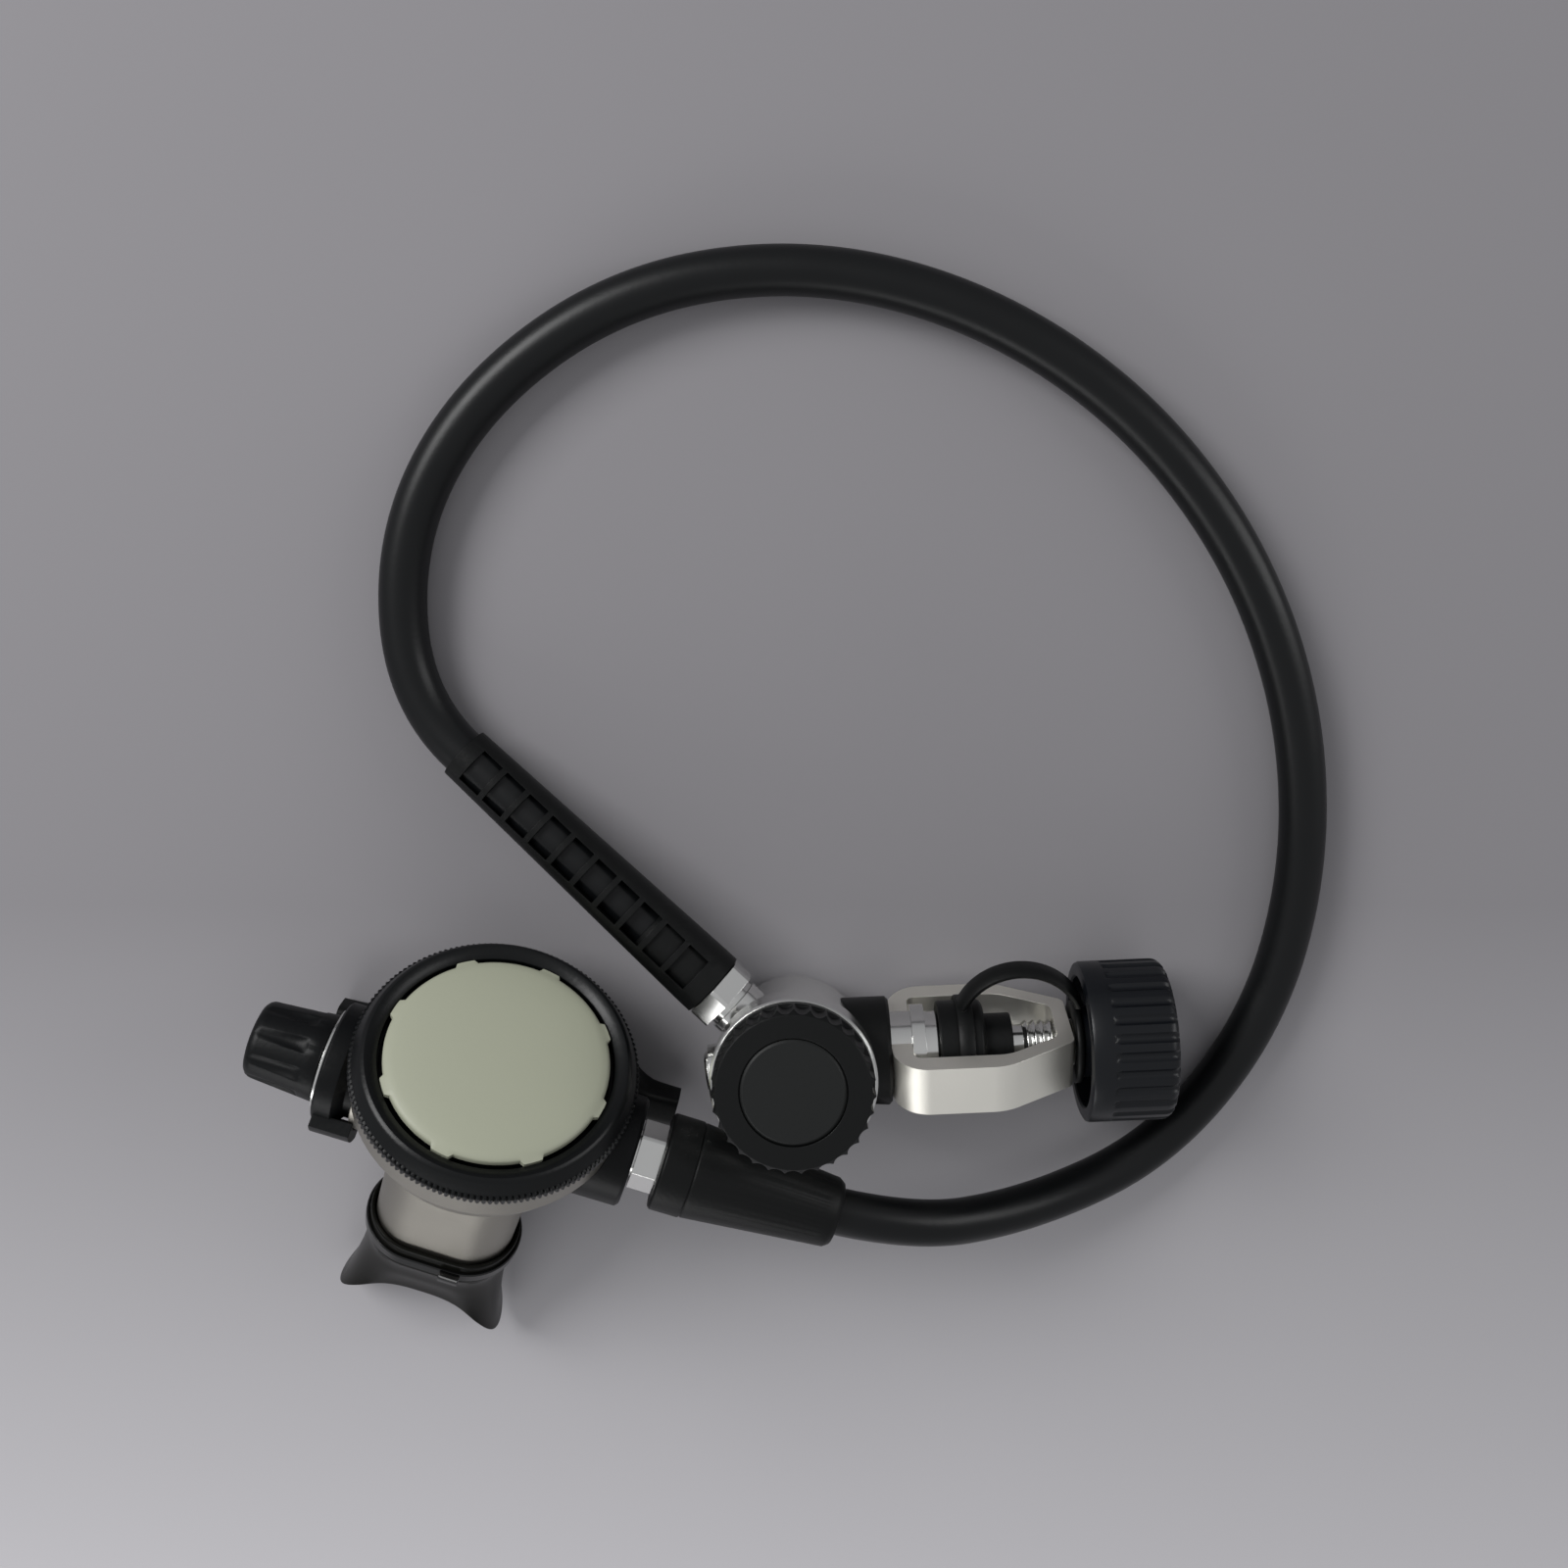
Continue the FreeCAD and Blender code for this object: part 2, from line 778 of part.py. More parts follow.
ports.append(cylinder(s.inlet_passage, s.boss_end, x=s.high_chamber - 2, z=-s.inlet_drop, turn=ALONG_X))
ports.append(cylinder(s.socket_radius, s.boss_end, x=s.socket_bottom, turn=ALONG_X))
piece("first_stage_body", cut(fuse(shell, *bosses), bores, *ports), FIRST)


# Port plugs, each with a socket for a hex key

def port_plug(stem):
    plug = turned([
        (0, s.port_face - s.plug_stem),
        (stem - s.fit, s.port_face - s.plug_stem),
        (stem - s.fit, s.port_face + s.fit),
        (s.plug_head, s.port_face + s.fit),
        (s.plug_head, s.port_face + s.plug_head_height - 0.6),
        (s.plug_head - 0.6, s.port_face + s.plug_head_height),
        (0, s.port_face + s.plug_head_height),
    ])
    socket = hexagon(s.plug_socket * math.sqrt(3), s.plug_head_height + 2, s.port_face - 1.5)
    return cut(plug, socket)


piece("left_port_plug", port_plug(s.port_bore), port_frame(s.left_plug_angle, s.low_port_height))
piece("right_port_plug", port_plug(s.port_bore), port_frame(s.right_plug_angle, s.low_port_height))
piece("high_port_plug", port_plug(s.high_port_bore), port_frame(s.high_plug_angle, s.high_port_height))


# High pressure valve: seat, poppet, its spring and the plug that guides it

piece("valve_seat", turned([
    (s.seat_hole, s.high_chamber_top),
    (s.seat_bore - s.fit, s.high_chamber_top),
    (s.seat_bore - s.fit, s.seat_top),
    (s.seat_bore + 1.5, s.seat_top + s.fit),
    (s.seat_bore + 1.5, s.seat_top + 1),
    (s.seat_hole, s.seat_top + 1),
]), FIRST)

poppet_top = s.high_chamber_top - s.fit
poppet_bottom = poppet_top - s.poppet_length
piece("high_pressure_poppet", turned([
    (0, s.poppet_stem_end),
    (s.poppet_stem, s.poppet_stem_end),
    (s.poppet_stem, poppet_bottom),
    (s.poppet_radius, poppet_bottom),
    (s.poppet_radius, poppet_top),
    (0, poppet_top),
]), FIRST)

plug_top = s.plug_bore_top - s.fit
oring_height = -base + 2.6
piece("balance_plug", turned([
    (0, -base + s.gap),
    (s.plug_bore - s.fit, -base + s.gap),
    (s.plug_bore - s.fit, oring_height - 1),
    (s.plug_bore - s.ring_section * 2 - 0.2, oring_height - 1),
    (s.plug_bore - s.ring_section * 2 - 0.2, oring_height + 1),
    (s.plug_bore - s.fit, oring_height + 1),
    (s.plug_bore - s.fit, plug_top),
    (s.poppet_stem + s.fit, plug_top),
    (s.poppet_stem + s.fit, s.poppet_stem_end - s.poppet_travel - s.gap),
    (0, s.poppet_stem_end - s.poppet_travel - s.gap),
]), FIRST)
balance_torus = torus(s.plug_bore - s.ring_section - 0.1, s.ring_section, oring_height)
piece("balance_plug_ring", group(balance_torus), FIRST)
piece(
    "poppet_return_spring",
    coil("poppet_return_spring", s.poppet_spring_radius, s.poppet_spring_wire,
         s.plug_bore_top + s.fit, poppet_bottom - s.fit, s.poppet_spring_turns),
    FIRST,
)


# Diaphragm side: rubber diaphragm, lift pin under it, lift plate and main spring over it

diaphragm_bottom = s.diaphragm_seat + s.fit
diaphragm_top = diaphragm_bottom + s.diaphragm_thickness
piece("first_stage_diaphragm", turned([
    (0, diaphragm_bottom),
    (s.diaphragm_recess - s.gap, diaphragm_bottom),
    (s.diaphragm_recess - s.gap, diaphragm_top),
    (0, diaphragm_top),
]), FIRST)
piece("lift_pin", turned([
    (0, poppet_top + s.fit),
    (s.lift_pin_radius, poppet_top + s.fit),
    (s.lift_pin_radius, diaphragm_bottom - 1.6),
    (s.lift_pin_head, diaphragm_bottom - 1.2),
    (s.lift_pin_head, diaphragm_bottom - s.fit),
    (0, diaphragm_bottom - s.fit),
]), FIRST)
lift_plate_top = diaphragm_top + s.fit + s.lift_plate_thickness
piece("lift_plate", turned([
    (0, diaphragm_top + s.fit),
    (s.lift_plate_radius, diaphragm_top + s.fit),
    (s.lift_plate_radius, lift_plate_top),
    (s.lift_plate_radius - 4, lift_plate_top),
    (s.lift_plate_radius - 5, lift_plate_top + 2),
    (0, lift_plate_top + 2),
]), FIRST)
piece("diaphragm_clamp", turned([
    (s.clamp_bore, diaphragm_top + s.fit),
    (s.diaphragm_recess - s.fit, diaphragm_top + s.fit),
    (s.diaphragm_recess - s.fit, s.body_top + s.fit),
    (s.clamp_radius, s.body_top + s.fit),
    (s.clamp_radius, s.clamp_flange_top - 0.5),
    (s.clamp_radius - 0.5, s.clamp_flange_top),
    (s.clamp_tube, s.clamp_flange_top),
    (s.clamp_tube, s.clamp_tube_top),
    (s.clamp_bore, s.clamp_tube_top),
]), FIRST)
piece(
    "main_spring",
    coil("main_spring", s.main_spring_radius, s.main_spring_wire,
         lift_plate_top + s.fit, s.adjusting_screw_bottom - s.fit, s.main_spring_turns),
    FIRST,
)
adjusting_ring = turned([
    (0, s.adjusting_screw_bottom),
    (s.clamp_bore - s.fit, s.adjusting_screw_bottom),
    (s.clamp_bore - s.fit, s.adjusting_screw_bottom + s.adjusting_screw_height),
    (0, s.adjusting_screw_bottom + s.adjusting_screw_height),
])
socket_depth = s.adjusting_screw_height + 2
socket = hexagon(s.adjusting_socket * math.sqrt(3), socket_depth, s.adjusting_screw_bottom - 1)
piece("adjusting_screw", cut(adjusting_ring, socket), FIRST)
seal_bottom = s.clamp_tube_top + s.fit
cavity_top = s.cap_top - s.cap_roof
piece("outer_seal", turned([
    (0, seal_bottom),
    (s.cap_radius - s.cap_wall - s.gap, seal_bottom),
    (s.cap_radius - s.cap_wall - s.gap, cavity_top - s.gap),
    (s.clamp_bore, cavity_top - s.gap),
    (s.clamp_bore - 1, seal_bottom + 1),
    (0, seal_bottom + 1),
]), FIRST)


# End cap: moulded in black, with scallops for grip and a recess for a plain disc

cap = turned([
    (s.cap_radius - s.cap_wall, s.cap_bottom),
    (s.cap_radius, s.cap_bottom),
    (s.cap_radius, s.cap_top - 1.2),
    (s.cap_radius - 1.2, s.cap_top),
    (s.disc_radius + s.gap, s.cap_top),
    (s.disc_radius + s.gap, s.cap_top - s.disc_thickness),
    (0, s.cap_top - s.disc_thickness),
    (0, cavity_top),
    (s.cap_radius - s.cap_wall, cavity_top),
])
flute(
    cap, s.cap_scallops, s.scallop_radius, s.cap_radius + s.scallop_radius - s.scallop_depth,
    s.cap_top + 1, s.cap_top + 1 - s.cap_bottom - s.cap_flange,
)
piece("end_cap", cap, FIRST)
piece("cap_disc", turned([
    (0, s.cap_top - s.disc_thickness + s.fit),
    (s.disc_radius, s.cap_top - s.disc_thickness + s.fit),
    (s.disc_radius, s.cap_top - 0.4),
    (s.disc_radius - 0.6, s.cap_top),
    (0, s.cap_top),
]), FIRST)


# Yoke retainer: the hollow bolt that holds the yoke to the body and seats on the cylinder valve

yoke_start = s.boss_end + s.fit * 2
plate_end = yoke_start + s.yoke_plate
head_start = plate_end + s.fit
groove_start = s.socket_bottom + 2
groove_floor = s.socket_radius - s.ring_section * 2 - 0.2
piece("yoke_retainer", turned([
    (s.inlet_bore, s.socket_bottom + s.gap),
    (s.socket_radius - s.fit, s.socket_bottom + s.gap),
    (s.socket_radius - s.fit, groove_start),
    (groove_floor, groove_start),
    (groove_floor, groove_start + 2),
    (s.socket_radius - s.fit, groove_start + 2),
    (s.socket_radius - s.fit, s.boss_end + s.fit),
    (s.yoke_hole - s.fit, s.boss_end + s.fit),
    (s.yoke_hole - s.fit, head_start),
    (s.retainer_head, head_start),
    (s.retainer_head, head_start + s.retainer_head_height),
    (s.nozzle_radius, head_start + s.retainer_head_height),
    (s.nozzle_radius, s.nozzle_end - 0.5),
    (s.nozzle_radius - 0.5, s.nozzle_end),
    (s.filter_pocket, s.nozzle_end),
    (s.filter_pocket, s.filter_pocket_bottom),
    (s.inlet_bore, s.filter_pocket_bottom),
]), YOKE_AXIS)
retainer_torus = torus(s.socket_radius - s.ring_section - 0.1, s.ring_section, groove_start + 1)
piece("retainer_ring", group(retainer_torus), YOKE_AXIS)
filter_start = s.filter_pocket_bottom + s.fit
piece("inlet_filter", turned([
    (0, filter_start),
    (s.filter_pocket - s.fit, filter_start),
    (s.filter_pocket - s.fit, filter_start + 1.2),
    (s.filter_pocket - 2.4, filter_start + 3.6),
    (0, filter_start + 3.6),
]), YOKE_AXIS)
piece("filter_clip", turned([
    (s.filter_pocket - 1.4, filter_start + 4),
    (s.filter_pocket - s.fit, filter_start + 4),
    (s.filter_pocket - s.fit, filter_start + 4.9),
    (s.filter_pocket - 1.4, filter_start + 4.9),
]), YOKE_AXIS)


# Collar: black rubber ring between the body and the yoke, hollowed on the body's side

collar = turned([
    (s.boss_radius + s.fit, s.collar_start),
    (s.collar_radius, s.collar_start),
    (s.collar_radius, s.boss_end - 0.8),
    (s.collar_radius - 0.8, s.boss_end),
    (s.boss_radius + s.fit, s.boss_end),
])
collar = moved(collar, Placement(Vector(), ALONG_X))
body_room = cylinder(s.body_radius + s.fit, 60, z=-30)
plug_room = radial(s.port_boss + s.fit, 0, s.port_face + 6, s.right_plug_angle, s.low_port_height)
piece("yoke_collar", cut(collar, body_room, plug_room), FIRST)


# Yoke: a forged loop in the plane of X and Y, open along Z

def upright_at(x, y):
    """Picks the edges along Z at a point and its mirror image across X."""

    def is_edge(edge):
        if not isinstance(edge.Curve, Part.Line) or abs(edge.tangentAt(edge.FirstParameter).z) < 0.99:
            return False
        point = edge.valueAt(edge.FirstParameter)
        return abs(point.x - size(x).value) < 0.01 and abs(abs(point.y) - size(y).value) < 0.01

    return is_edge


def mirrored(corners):
    return corners + [(x, -y) for x, y in reversed(corners)]


half_depth = s.yoke_depth / 2
loop = prism(mirrored([
    (yoke_start, s.yoke_half_height),
    (s.arm_end, s.yoke_half_height),
    (s.yoke_end, s.yoke_tip),
]), -half_depth, half_depth)
rounded(loop, 9, upright_at(yoke_start, s.yoke_half_height))
rounded(loop, 14, upright_at(s.arm_end, s.yoke_half_height))
rounded(loop, 2.5, upright_at(s.yoke_end, s.yoke_tip))
window = prism(mirrored([
    (plate_end, s.yoke_half_gap),
    (s.arm_end + 1, s.yoke_half_gap),
    (s.window_end, s.window_tip),
]), -half_depth - 1, half_depth + 1)
rounded(window, 2, upright_at(plate_end, s.yoke_half_gap))
rounded(window, 10, upright_at(s.arm_end + 1, s.yoke_half_gap))
rounded(window, 3, upright_at(s.window_end, s.window_tip))
retainer_hole = cylinder(s.yoke_hole, s.yoke_plate + 2, x=yoke_start - 1, turn=ALONG_X)
screw_hole = cylinder(s.screw_radius + s.fit, s.yoke_end - s.window_end + 4, x=s.window_end - 2, turn=ALONG_X)
piece("yoke", cut(loop, window, retainer_hole, screw_hole), YOKE)


# Yoke screw with its thread cut as rings, its captive foot, and the knob

thread_start = s.foot_end + s.fit
thread = [(0, thread_start - 2.6), (s.foot_radius - 2, thread_start - 2.6), (s.foot_radius - 2, thread_start)]
for turn in range(SIZES["thread_turns"]):
    pitch_start = thread_start + s.screw_pitch * turn
    thread.append((s.screw_radius - s.thread_depth, pitch_start))
    thread.append((s.screw_radius, pitch_start + s.screw_pitch * 0.45))
    thread.append((s.screw_radius, pitch_start + s.screw_pitch * 0.55))
thread_stop = thread_start + s.screw_pitch * SIZES["thread_turns"]
knob_end = s.knob_start + s.knob_length
thread += [
    (s.screw_radius - s.thread_depth, thread_stop),
    (s.shank_radius, thread_stop + s.fit),
    (s.shank_radius, knob_end - 5),
    (0, knob_end - 5),
]
piece("yoke_screw", turned(thread), YOKE_AXIS)
piece("screw_foot", turned([
    (0, s.foot_start),
    (s.foot_radius - 0.6, s.foot_start),
    (s.foot_radius, s.foot_start + 0.6),
    (s.foot_radius, s.foot_end),
    (s.foot_radius - 2 + s.fit, s.foot_end),
    (s.foot_radius - 2 + s.fit, thread_start - 2.6 - s.gap),
    (0, thread_start - 2.6 - s.gap),
]), YOKE_AXIS)
knob = turned([
    (s.screw_radius + s.fit, s.knob_start),
    (s.knob_hub, s.knob_start),
    (s.knob_hub, s.knob_start + s.knob_recess_depth),
    (s.knob_recess, s.knob_start + s.knob_recess_depth),
    (s.knob_recess, s.knob_start),
    (s.knob_radius - 0.8, s.knob_start),
    (s.knob_radius, s.knob_start + 0.8),
    (s.knob_radius, knob_end - 2),
    (s.knob_radius - 2, knob_end),
    (0, knob_end),
    (0, knob_end - 5 + s.fit),
    (s.shank_radius + s.fit, knob_end - 5 + s.fit),
    (s.shank_radius + s.fit, thread_stop + s.fit * 2),
    (s.screw_radius + s.fit, thread_stop + s.fit * 2),
])
flute(
    knob, s.knob_grooves, s.groove_radius, s.knob_radius + s.groove_radius - s.groove_depth,
    knob_end + 1, s.knob_length - s.knob_band + 1,
)
piece("yoke_knob", knob, YOKE_AXIS)


# Dust cap: rubber, plugged into the inlet, with a dimple for the screw's foot, on a strap round the screw

tip_end = s.foot_start - s.fit + s.dimple_depth
piece("dust_cap", turned([
    (0, s.nozzle_end - 2.2),
    (s.filter_pocket - s.gap - 0.5, s.nozzle_end - 2.2),
    (s.filter_pocket - s.gap, s.nozzle_end - 1.7),
    (s.filter_pocket - s.gap, s.nozzle_end + s.fit),
    (s.dust_cap_radius, s.nozzle_end + s.fit),
    (s.dust_cap_radius, s.dust_cap_end - 1),
    (s.dust_cap_radius - 1, s.dust_cap_end),
    (s.dust_cap_tip, s.dust_cap_end),
    (s.dust_cap_tip, tip_end),
    (s.foot_radius + s.gap, tip_end),
    (s.foot_radius + s.gap, s.foot_start - s.fit),
    (0, s.foot_start - s.fit),
]), YOKE_AXIS)

eye_end = s.knob_start - s.gap
eye_start = eye_end - s.strap_eye_thickness
half_strap = s.strap_width / 2
ring_outer = s.dust_cap_radius + s.strap_thickness
waist = cut(
    cylinder(ring_outer, s.strap_ring_width, x=s.strap_ring_start, turn=ALONG_X),
    cylinder(s.dust_cap_radius + 0.02, s.strap_ring_width + 2, x=s.strap_ring_start - 1, turn=ALONG_X),
)
eye = cylinder(s.strap_eye, s.strap_eye_thickness, x=eye_start, turn=ALONG_X)
eye_hole = cylinder(s.screw_radius + s.gap, s.strap_eye_thickness + 2, x=eye_start - 1, turn=ALONG_X)
arch = cut(
    cylinder(s.strap_arch_radius + s.strap_arch_thickness, s.strap_width,
             x=s.strap_arch_x, y=-half_strap, z=s.strap_arch_z, turn=ALONG_Y),
    cylinder(s.strap_arch_radius, s.strap_width + 2,
             x=s.strap_arch_x, y=-half_strap - 1, z=s.strap_arch_z, turn=ALONG_Y),
    box(60, 40, 60, x=s.strap_arch_x - 60, y=-20, z=s.dust_cap_radius + 0.3 - 60),
    box(60, 40, 60, x=s.strap_arch_x, y=-20, z=s.strap_eye - 2.5 - 60),
    box(20, 40, 60, x=eye_end, y=-20, z=-20),
)
piece("dust_cap_strap", cut(fuse(waist, eye, arch), eye_hole), YOKE)


# Hose fitting at the first stage: thread, flange, hex and the ferrule that grips the hose

nut_end = s.nut_start + s.nut_length
fitting = fuse(
    cylinder(s.port_bore - s.fit, s.nut_start - s.port_face + s.plug_stem, z=s.port_face - s.plug_stem),
    cylinder(s.port_boss - 0.6, s.nut_start - s.port_face, z=s.port_face + s.fit),
    common(
        hexagon(s.nut_flats, s.nut_length, s.nut_start),
        cylinder(s.nut_flats * 0.56, s.nut_length, z=s.nut_start),
    ),
    cylinder(s.ferrule_radius - 2, s.ferrule_end - nut_end - 2, z=nut_end),
)
piece("hose_fitting", fitting, HOSE_PORT)
piece("hose_ferrule", turned([
    (s.ferrule_radius - 2 + s.fit, nut_end + s.fit),
    (s.ferrule_radius, nut_end + s.fit),
    (s.ferrule_radius, s.ferrule_end - 1),
    (s.ferrule_radius - 0.8, s.ferrule_end - s.fit),
    (0, s.ferrule_end - s.fit),
    (0, s.ferrule_end - 2 + s.fit),
    (s.ferrule_radius - 2 + s.fit, s.ferrule_end - 2 + s.fit),
]), HOSE_PORT)


# Hose sleeve: a long tapering rubber tube with rows of windows above and below

hose_radius = s.hose_diameter / 2
sleeve_bore = hose_radius + 0.15
ferrule_room = s.ferrule_radius + 0.1
sleeve = turned([
    (ferrule_room, s.sleeve_start),
    (s.sleeve_root_radius, s.sleeve_start),
    (s.sleeve_root_radius, s.first_window - 2),
    (s.sleeve_tip_radius, s.sleeve_end),
    (sleeve_bore, s.sleeve_end),
    (sleeve_bore, s.ferrule_end + 6),
    (ferrule_room, s.ferrule_end + 2),
])
windows = []
for number in range(SIZES["sleeve_windows"]):
    windows.append(box(
        30, s.window_width, s.window_length,
        x=-15, y=-s.window_width / 2, z=s.first_window + s.window_pitch * number,
    ))
piece("hose_sleeve", cut(sleeve, fuse(*windows)), HOSE_PORT)


# Swivel at the second stage: nut, ferrule and the boot over them

piece("swivel_nut", cut(
    fuse(
        common(
            hexagon(s.swivel_flats, s.swivel_start - s.swivel_flats_end, s.swivel_flats_end),
            cylinder(s.swivel_flats * 0.56, s.swivel_start - s.swivel_flats_end, z=s.swivel_flats_end),
        ),
        cylinder(s.swivel_round, s.swivel_flats_end - s.swivel_end, z=s.swivel_end),
    ),
    cylinder(s.inlet_tube_radius + s.fit, s.swivel_start - s.inlet_tube_end + 1, z=s.inlet_tube_end - s.gap),
    cylinder(s.inlet_bore, 10, z=s.swivel_end - 1),
), BARREL)
piece("swivel_ferrule", turned([
    (s.inlet_bore, s.hose_seat + s.fit),
    (s.swivel_round - 0.6, s.hose_seat + s.fit),
    (s.swivel_round, s.hose_seat + 1),
    (s.swivel_round, s.swivel_end - s.fit),
    (s.inlet_bore, s.swivel_end - s.fit),
]), BARREL)
seam = s.boot_start - s.boot_seam
piece("hose_boot", turned([
    (s.swivel_round + 0.1, s.boot_start),
    (s.boot_root_radius - 0.6, s.boot_start),
    (s.boot_root_radius, s.boot_start - 0.6),
    (s.boot_root_radius, seam),
    (s.boot_root_radius - 0.5, seam - 0.3),
    (s.boot_root_radius - 0.2, seam - 0.6),
    (s.boot_tip_radius, s.boot_end + 1.5),
    (s.boot_tip_radius - 1, s.boot_end),
    (sleeve_bore, s.boot_end),
    (sleeve_bore, s.hose_seat - 2),
    (s.swivel_round + 0.1, s.hose_seat),
]), BARREL)


# Hose: leaves the sleeve, lies in one large loop on the table and rises to the second stage's boot.
# Its points were chosen by hand along the hose, in table coordinates, and its ends follow the two fittings.

HOSE_POINTS = [
    (-76.8, 156.1, 5.95),
    (-57.9, 189.4, 5.95),
    (-22.7, 214.0, 5.95),
    (18.8, 221.1, 5.95),
    (60.4, 212.6, 5.95),
    (99.1, 189.7, 5.95),
    (128.7, 155.7, 5.95),
    (146.7, 115.0, 5.95),
    (152.0, 71.1, 5.95),
    (144.2, 28.7, 5.95),
    (119.7, -7.0, 7.6),
    (82.7, -19.6, 18.6),
]
sleeve_corner = s.sleeve_end.value + 18.5
hose_route = [HOSE_PORT.multVec(Vector(0, 0, s.ferrule_end.value))]
hose_route.append(HOSE_PORT.multVec(Vector(0, 0, sleeve_corner)))
hose_route += [Vector(*point) for point in HOSE_POINTS]
hose_route.append(BARREL.multVec(Vector(0, 0, -s.boot_corner.value)))
hose_route.append(BARREL.multVec(Vector(0, 0, s.hose_seat.value)))
hose_path = joined_arcs(hose_route)
hose = doc.addObject("Part::Feature", "hose")
hose.Shape = tube_along(hose_path, hose_radius.value)
expected = math.pi * hose_radius.value**2 * hose_path.Length
print("hose length", round(hose_path.Length, 1), "volume share", round(hose.Shape.Volume / expected, 4))
piece("hose", hose, Placement())


# Second stage case: satin metal bowl with a flat exhaust seat, a barrel boss and the oval mouthpiece tube

def bowl_outline(room):
    """The bowl's outside, grown by the room that a piece round it needs."""
    return [
        (0, s.case_back - room),
        (s.case_radius - 14 + room, s.case_back - room),
        (s.case_radius - 8 + room, s.case_back + 6),
        (s.case_radius - 3 + room, s.case_shoulder - 8),
        (s.case_radius + room, s.case_shoulder),
    ]


bowl = turned(bowl_outline(0) + [
    (s.case_radius, s.case_front),
    (0, s.case_front),
])
bowl_room = turned([
    (0, s.case_back + s.case_wall),
    (s.case_radius - 15, s.case_back + s.case_wall),
    (s.case_radius - 9.6, s.case_back + 7),
    (s.case_radius - 5, s.case_shoulder - 8),
    (s.ledge_radius, s.case_shoulder - 3),
    (s.ledge_radius, s.ledge),
    (s.inner_radius, s.ledge),
    (s.inner_radius, s.case_front + 1),
    (0, s.case_front + 1),
])
tube = moved(oval(s.tube_half_width, s.tube_half_height, -6, s.tube_length), MOUTH_IN_CASE)
tube_room = moved(
    oval(s.tube_half_width - s.tube_wall, s.tube_half_height - s.tube_wall, -6, s.tube_length + 1),
    MOUTH_IN_CASE,
)
knob_boss = cylinder(s.boss_outer, s.boss_reach - 20, x=20, y=s.barrel_y, z=s.barrel_z, turn=ALONG_X)
below_seat = moved(box(120, 120, 60, x=-60, y=-60), EXHAUST_IN_CASE)
below_room = moved(box(120, 120, 60, x=-60, y=-60, z=-s.case_wall), EXHAUST_IN_CASE)
rim = turned([
    (s.ledge_radius, s.ledge - 2),
    (s.case_radius, s.ledge - 2),
    (s.case_radius, s.case_front),
    (s.ledge_radius, s.case_front),
])
diaphragm_room = cylinder(s.inner_radius, s.case_front + 1 - s.ledge, z=s.ledge)
lever_wall = common(
    cylinder(s.lever_neck_radius + 2.2, 20, x=s.boss_reach - 1.6, y=s.barrel_y, z=s.barrel_z, turn=ALONG_X),
    cylinder(s.case_radius - 1, s.ledge - s.case_back, z=s.case_back - 0.2),
)
outside = fuse(cut(fuse(bowl, tube, knob_boss), below_seat), rim)
inside = fuse(cut(fuse(bowl_room, tube_room), below_room, lever_wall), diaphragm_room)
lever_pocket = moved(turned([
    (0, s.collar_start_x - s.gap),
    (s.lever_neck_radius + s.gap, s.collar_start_x - s.gap),
    (s.lever_neck_radius + s.gap, s.lever_neck_end - s.gap),
    (s.lever_radius + s.gap, s.lever_shoulder - s.gap),
    (s.lever_radius + s.gap, s.collar_end_x),
    (0, s.collar_end_x),
]), Placement(Vector(0, s.barrel_y.value, s.barrel_z.value), ALONG_X))
exhaust_grid = moved(
    cut(
        cylinder(s.exhaust_hole, 10, z=-6),
        cylinder(2.4, 12, z=-7),
        box(30, 2, 12, x=-15, y=-1, z=-7),
        box(2, 30, 12, x=-1, y=-15, z=-7),
    ),
    EXHAUST_IN_CASE,
)
stem_hole = moved(cylinder(1.2 + s.fit, 10, z=-6), EXHAUST_IN_CASE)
piece("second_stage_case", cut(
    outside,
    inside,
    exhaust_grid,
    stem_hole,
    lever_pocket,
    cylinder(s.vane_sleeve + s.gap, 20, x=18, y=s.barrel_y, z=s.barrel_z, turn=ALONG_X),
    cylinder(s.barrel_radius + s.fit, 20, x=-38, y=s.barrel_y, z=s.barrel_z, turn=ALONG_X),
), SECOND)


# Front of the case: ring, perforated plate, purge cover and its spring

ring_seat = s.case_front + s.fit
piece("front_ring", turned([
    (s.case_radius + s.fit, s.ring_back),
    (s.ring_radius - 0.3, s.ring_back),
    (s.ring_radius, s.ring_back + 0.3),
    (s.ring_radius, -1.8),
    (s.ring_radius - 1.8, 0),
    (s.ring_radius - 3.2, 0),
    (s.ring_bore, -1.6),
    (s.ring_bore, ring_seat),
    (s.case_radius + s.fit, ring_seat),
]), SECOND)

web_top = s.plate_web + s.plate_web_thickness
plate = turned([
    (s.plate_hole, s.plate_web),
    (s.ledge_radius - 1, s.plate_web),
    (s.ledge_radius - 1, s.ledge + 0.9),
    (s.inner_radius - s.fit, s.ledge + 0.9),
    (s.inner_radius - s.fit, s.case_front),
    (s.ledge_radius - 2, s.case_front),
    (s.ledge_radius - 2, web_top),
    (s.plate_hole, web_top),
])
slots = []
for number in range(8):
    spoke = Rotation(Vector(0, 0, 1), 45 * number + 22.5)
    slot = box(s.ledge_radius - 15.8, 5, 6, x=9, y=-2.5, z=s.plate_web - 2)
    slot = moved(slot, Placement(Vector(), spoke))
    slots.append(slot)
piece("cover_plate", cut(plate, fuse(*slots)), SECOND)

